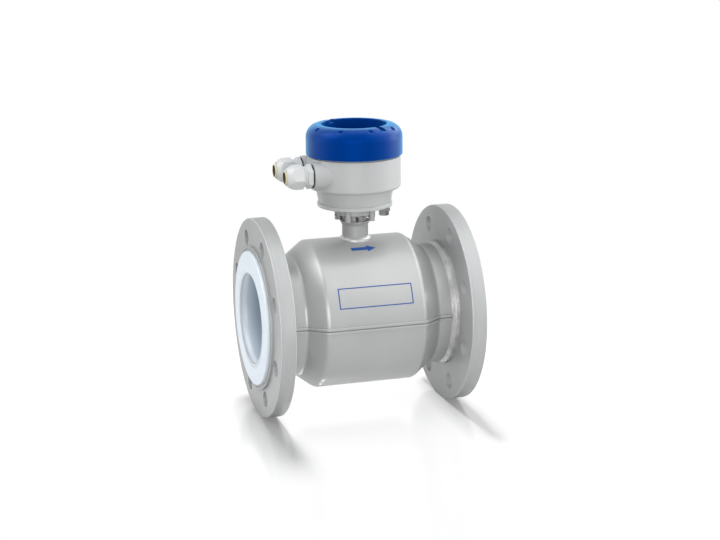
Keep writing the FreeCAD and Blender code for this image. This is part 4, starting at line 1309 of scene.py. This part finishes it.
@dataclass
class Stage:
    """The white floor, the soft light and the camera."""

    aim: Vector = field(default_factory=lambda: Vector((5.23, 0, 44.37)) * MM)
    azimuth: float = 17.003
    elevation: float = 13.8
    roll: float = -0.588
    distance: float = 2001 * MM
    lens: float = 90.0
    sensor_width: float = 36.0
    sight: float = 100.0
    sky_colour: Colour = (0.96, 0.98, 1.0)
    sky_strength: float = 0.3
    floor_size: float = 40.0
    floor_gap: float = 0.05 * MM
    floor_colour: Colour = (0.2, 0.2, 0.2)
    floor_bounce: Colour = (0.12, 0.12, 0.12)
    floor_roughness: float = 0.16
    floor_gloss: float = 1.0
    floor_glow: float = 0.2
    floor_fade: tuple[float, float] = (0.32, 0.7)
    lamps: tuple[Lamp, ...] = (
        Lamp("left_box_high", 95, 50, 2.2, (1.4, 1.4), 26),
        Lamp("left_box_low", 95, 10, 2.2, (1.4, 1.4), 8),
        Lamp("front_box", 17, 5, 2.2, (1.4, 1.4), 27),
        Lamp("right_box_near", -45, 28, 2.2, (1.4, 2.6), 20),
        Lamp("right_box_low", -85, 10, 2.2, (1.4, 1.4), 20),
        Lamp("right_box_high", -85, 50, 2.2, (1.4, 1.4), 14),
        Lamp("right_box_back", -120, 35, 2.2, (1.4, 1.4), 14),
        Lamp("top_box", 0, 88, 2.2, (1.4, 1.4), 8),
        FloorLamp("floor_strip", 184, 62, 3.0, (0.6, 1.1), 360),
    )

    def build(self) -> None:
        """Sets up the world, the floor, the lamps and the camera."""
        self.make_world()
        self.make_floor()
        for lamp in self.lamps:
            lamp.build(self.aim)
        self.make_camera()
        bpy.context.scene.view_settings.view_transform = "Standard"

    def make_world(self) -> None:
        """Gives a white background and a soft grey sky for the light."""
        world = bpy.data.worlds.new("studio")
        bpy.context.scene.world = world
        graph = Graph(world)
        sky = graph.node("ShaderNodeBackground", inputs={
            "Color": self.sky_colour, "Strength": self.sky_strength})
        white = graph.node("ShaderNodeBackground", inputs={"Color": (1, 1, 1), "Strength": 1.0})
        shown = graph.mixed(graph.seen(), sky, white)
        graph.node("ShaderNodeOutputWorld", inputs={"Surface": shown.outputs[0]})

    def make_floor(self) -> None:
        """Lays the floor, which is white to the camera but keeps the shadow."""
        deselect_everything()
        level = CAD_BOX[0][2] - self.floor_gap
        bpy.ops.mesh.primitive_plane_add(size=self.floor_size, location=(0, 0, level))
        floor = bpy.context.object
        floor.name = "floor"
        graph = Graph.for_material("pale_floor")
        plain = graph.node("ShaderNodeBsdfPrincipled", inputs={
            "Base Color": graph.blend(graph.seen(), self.floor_bounce, self.floor_colour),
            "Roughness": self.floor_roughness, "Specular IOR Level": self.floor_gloss})
        glow = graph.node("ShaderNodeEmission", inputs={"Color": (1, 1, 1), "Strength": self.floor_glow})
        white = graph.node("ShaderNodeEmission", inputs={"Color": (1, 1, 1), "Strength": 1.0})
        near = graph.node("ShaderNodeAddShader", inputs={0: plain.outputs[0], 1: glow.outputs[0]})
        x, y, _ = graph.along()
        away = (x * x + y * y).root().within(*self.floor_fade)
        shown = graph.mixed(graph.seen(), plain, graph.mixed(away, near, white))
        graph.node("ShaderNodeOutputMaterial", inputs={"Surface": shown.outputs[0]})
        floor.data.materials.append(graph.owner)

    def make_camera(self) -> None:
        """Sets the camera at its angle, with its slight roll."""
        data = bpy.data.cameras.new("camera")
        data.lens = self.lens
        data.sensor_width = self.sensor_width
        data.clip_end = self.sight
        camera = bpy.data.objects.new("camera", data)
        turn, tilt = math.radians(self.azimuth), math.radians(self.roll)
        back = outward(self.azimuth, self.elevation)
        right = Vector((math.cos(turn), -math.sin(turn), 0))
        up = back.cross(right)
        side = right * math.cos(tilt) + up * math.sin(tilt)
        top = up * math.cos(tilt) - right * math.sin(tilt)
        turned = Matrix((side, top, back)).transposed().to_4x4()
        camera.matrix_world = Matrix.Translation(self.aim + back * self.distance) @ turned
        bpy.context.scene.collection.objects.link(camera)
        bpy.context.scene.camera = camera


def main() -> None:
    """Builds the stage and the meter's sub-assemblies in order."""
    logging.basicConfig(level=logging.INFO, format="%(message)s")
    parts = (Stage(), PipeEnds(), SensorShell(), CoilSystem(), Neck(), Converter(), ScrewCover(),
             CableGlands())
    for part in parts:
        log.info("building %s", type(part).__name__)
        part.build()
    deselect_everything()


if __name__ == "__main__":
    main()
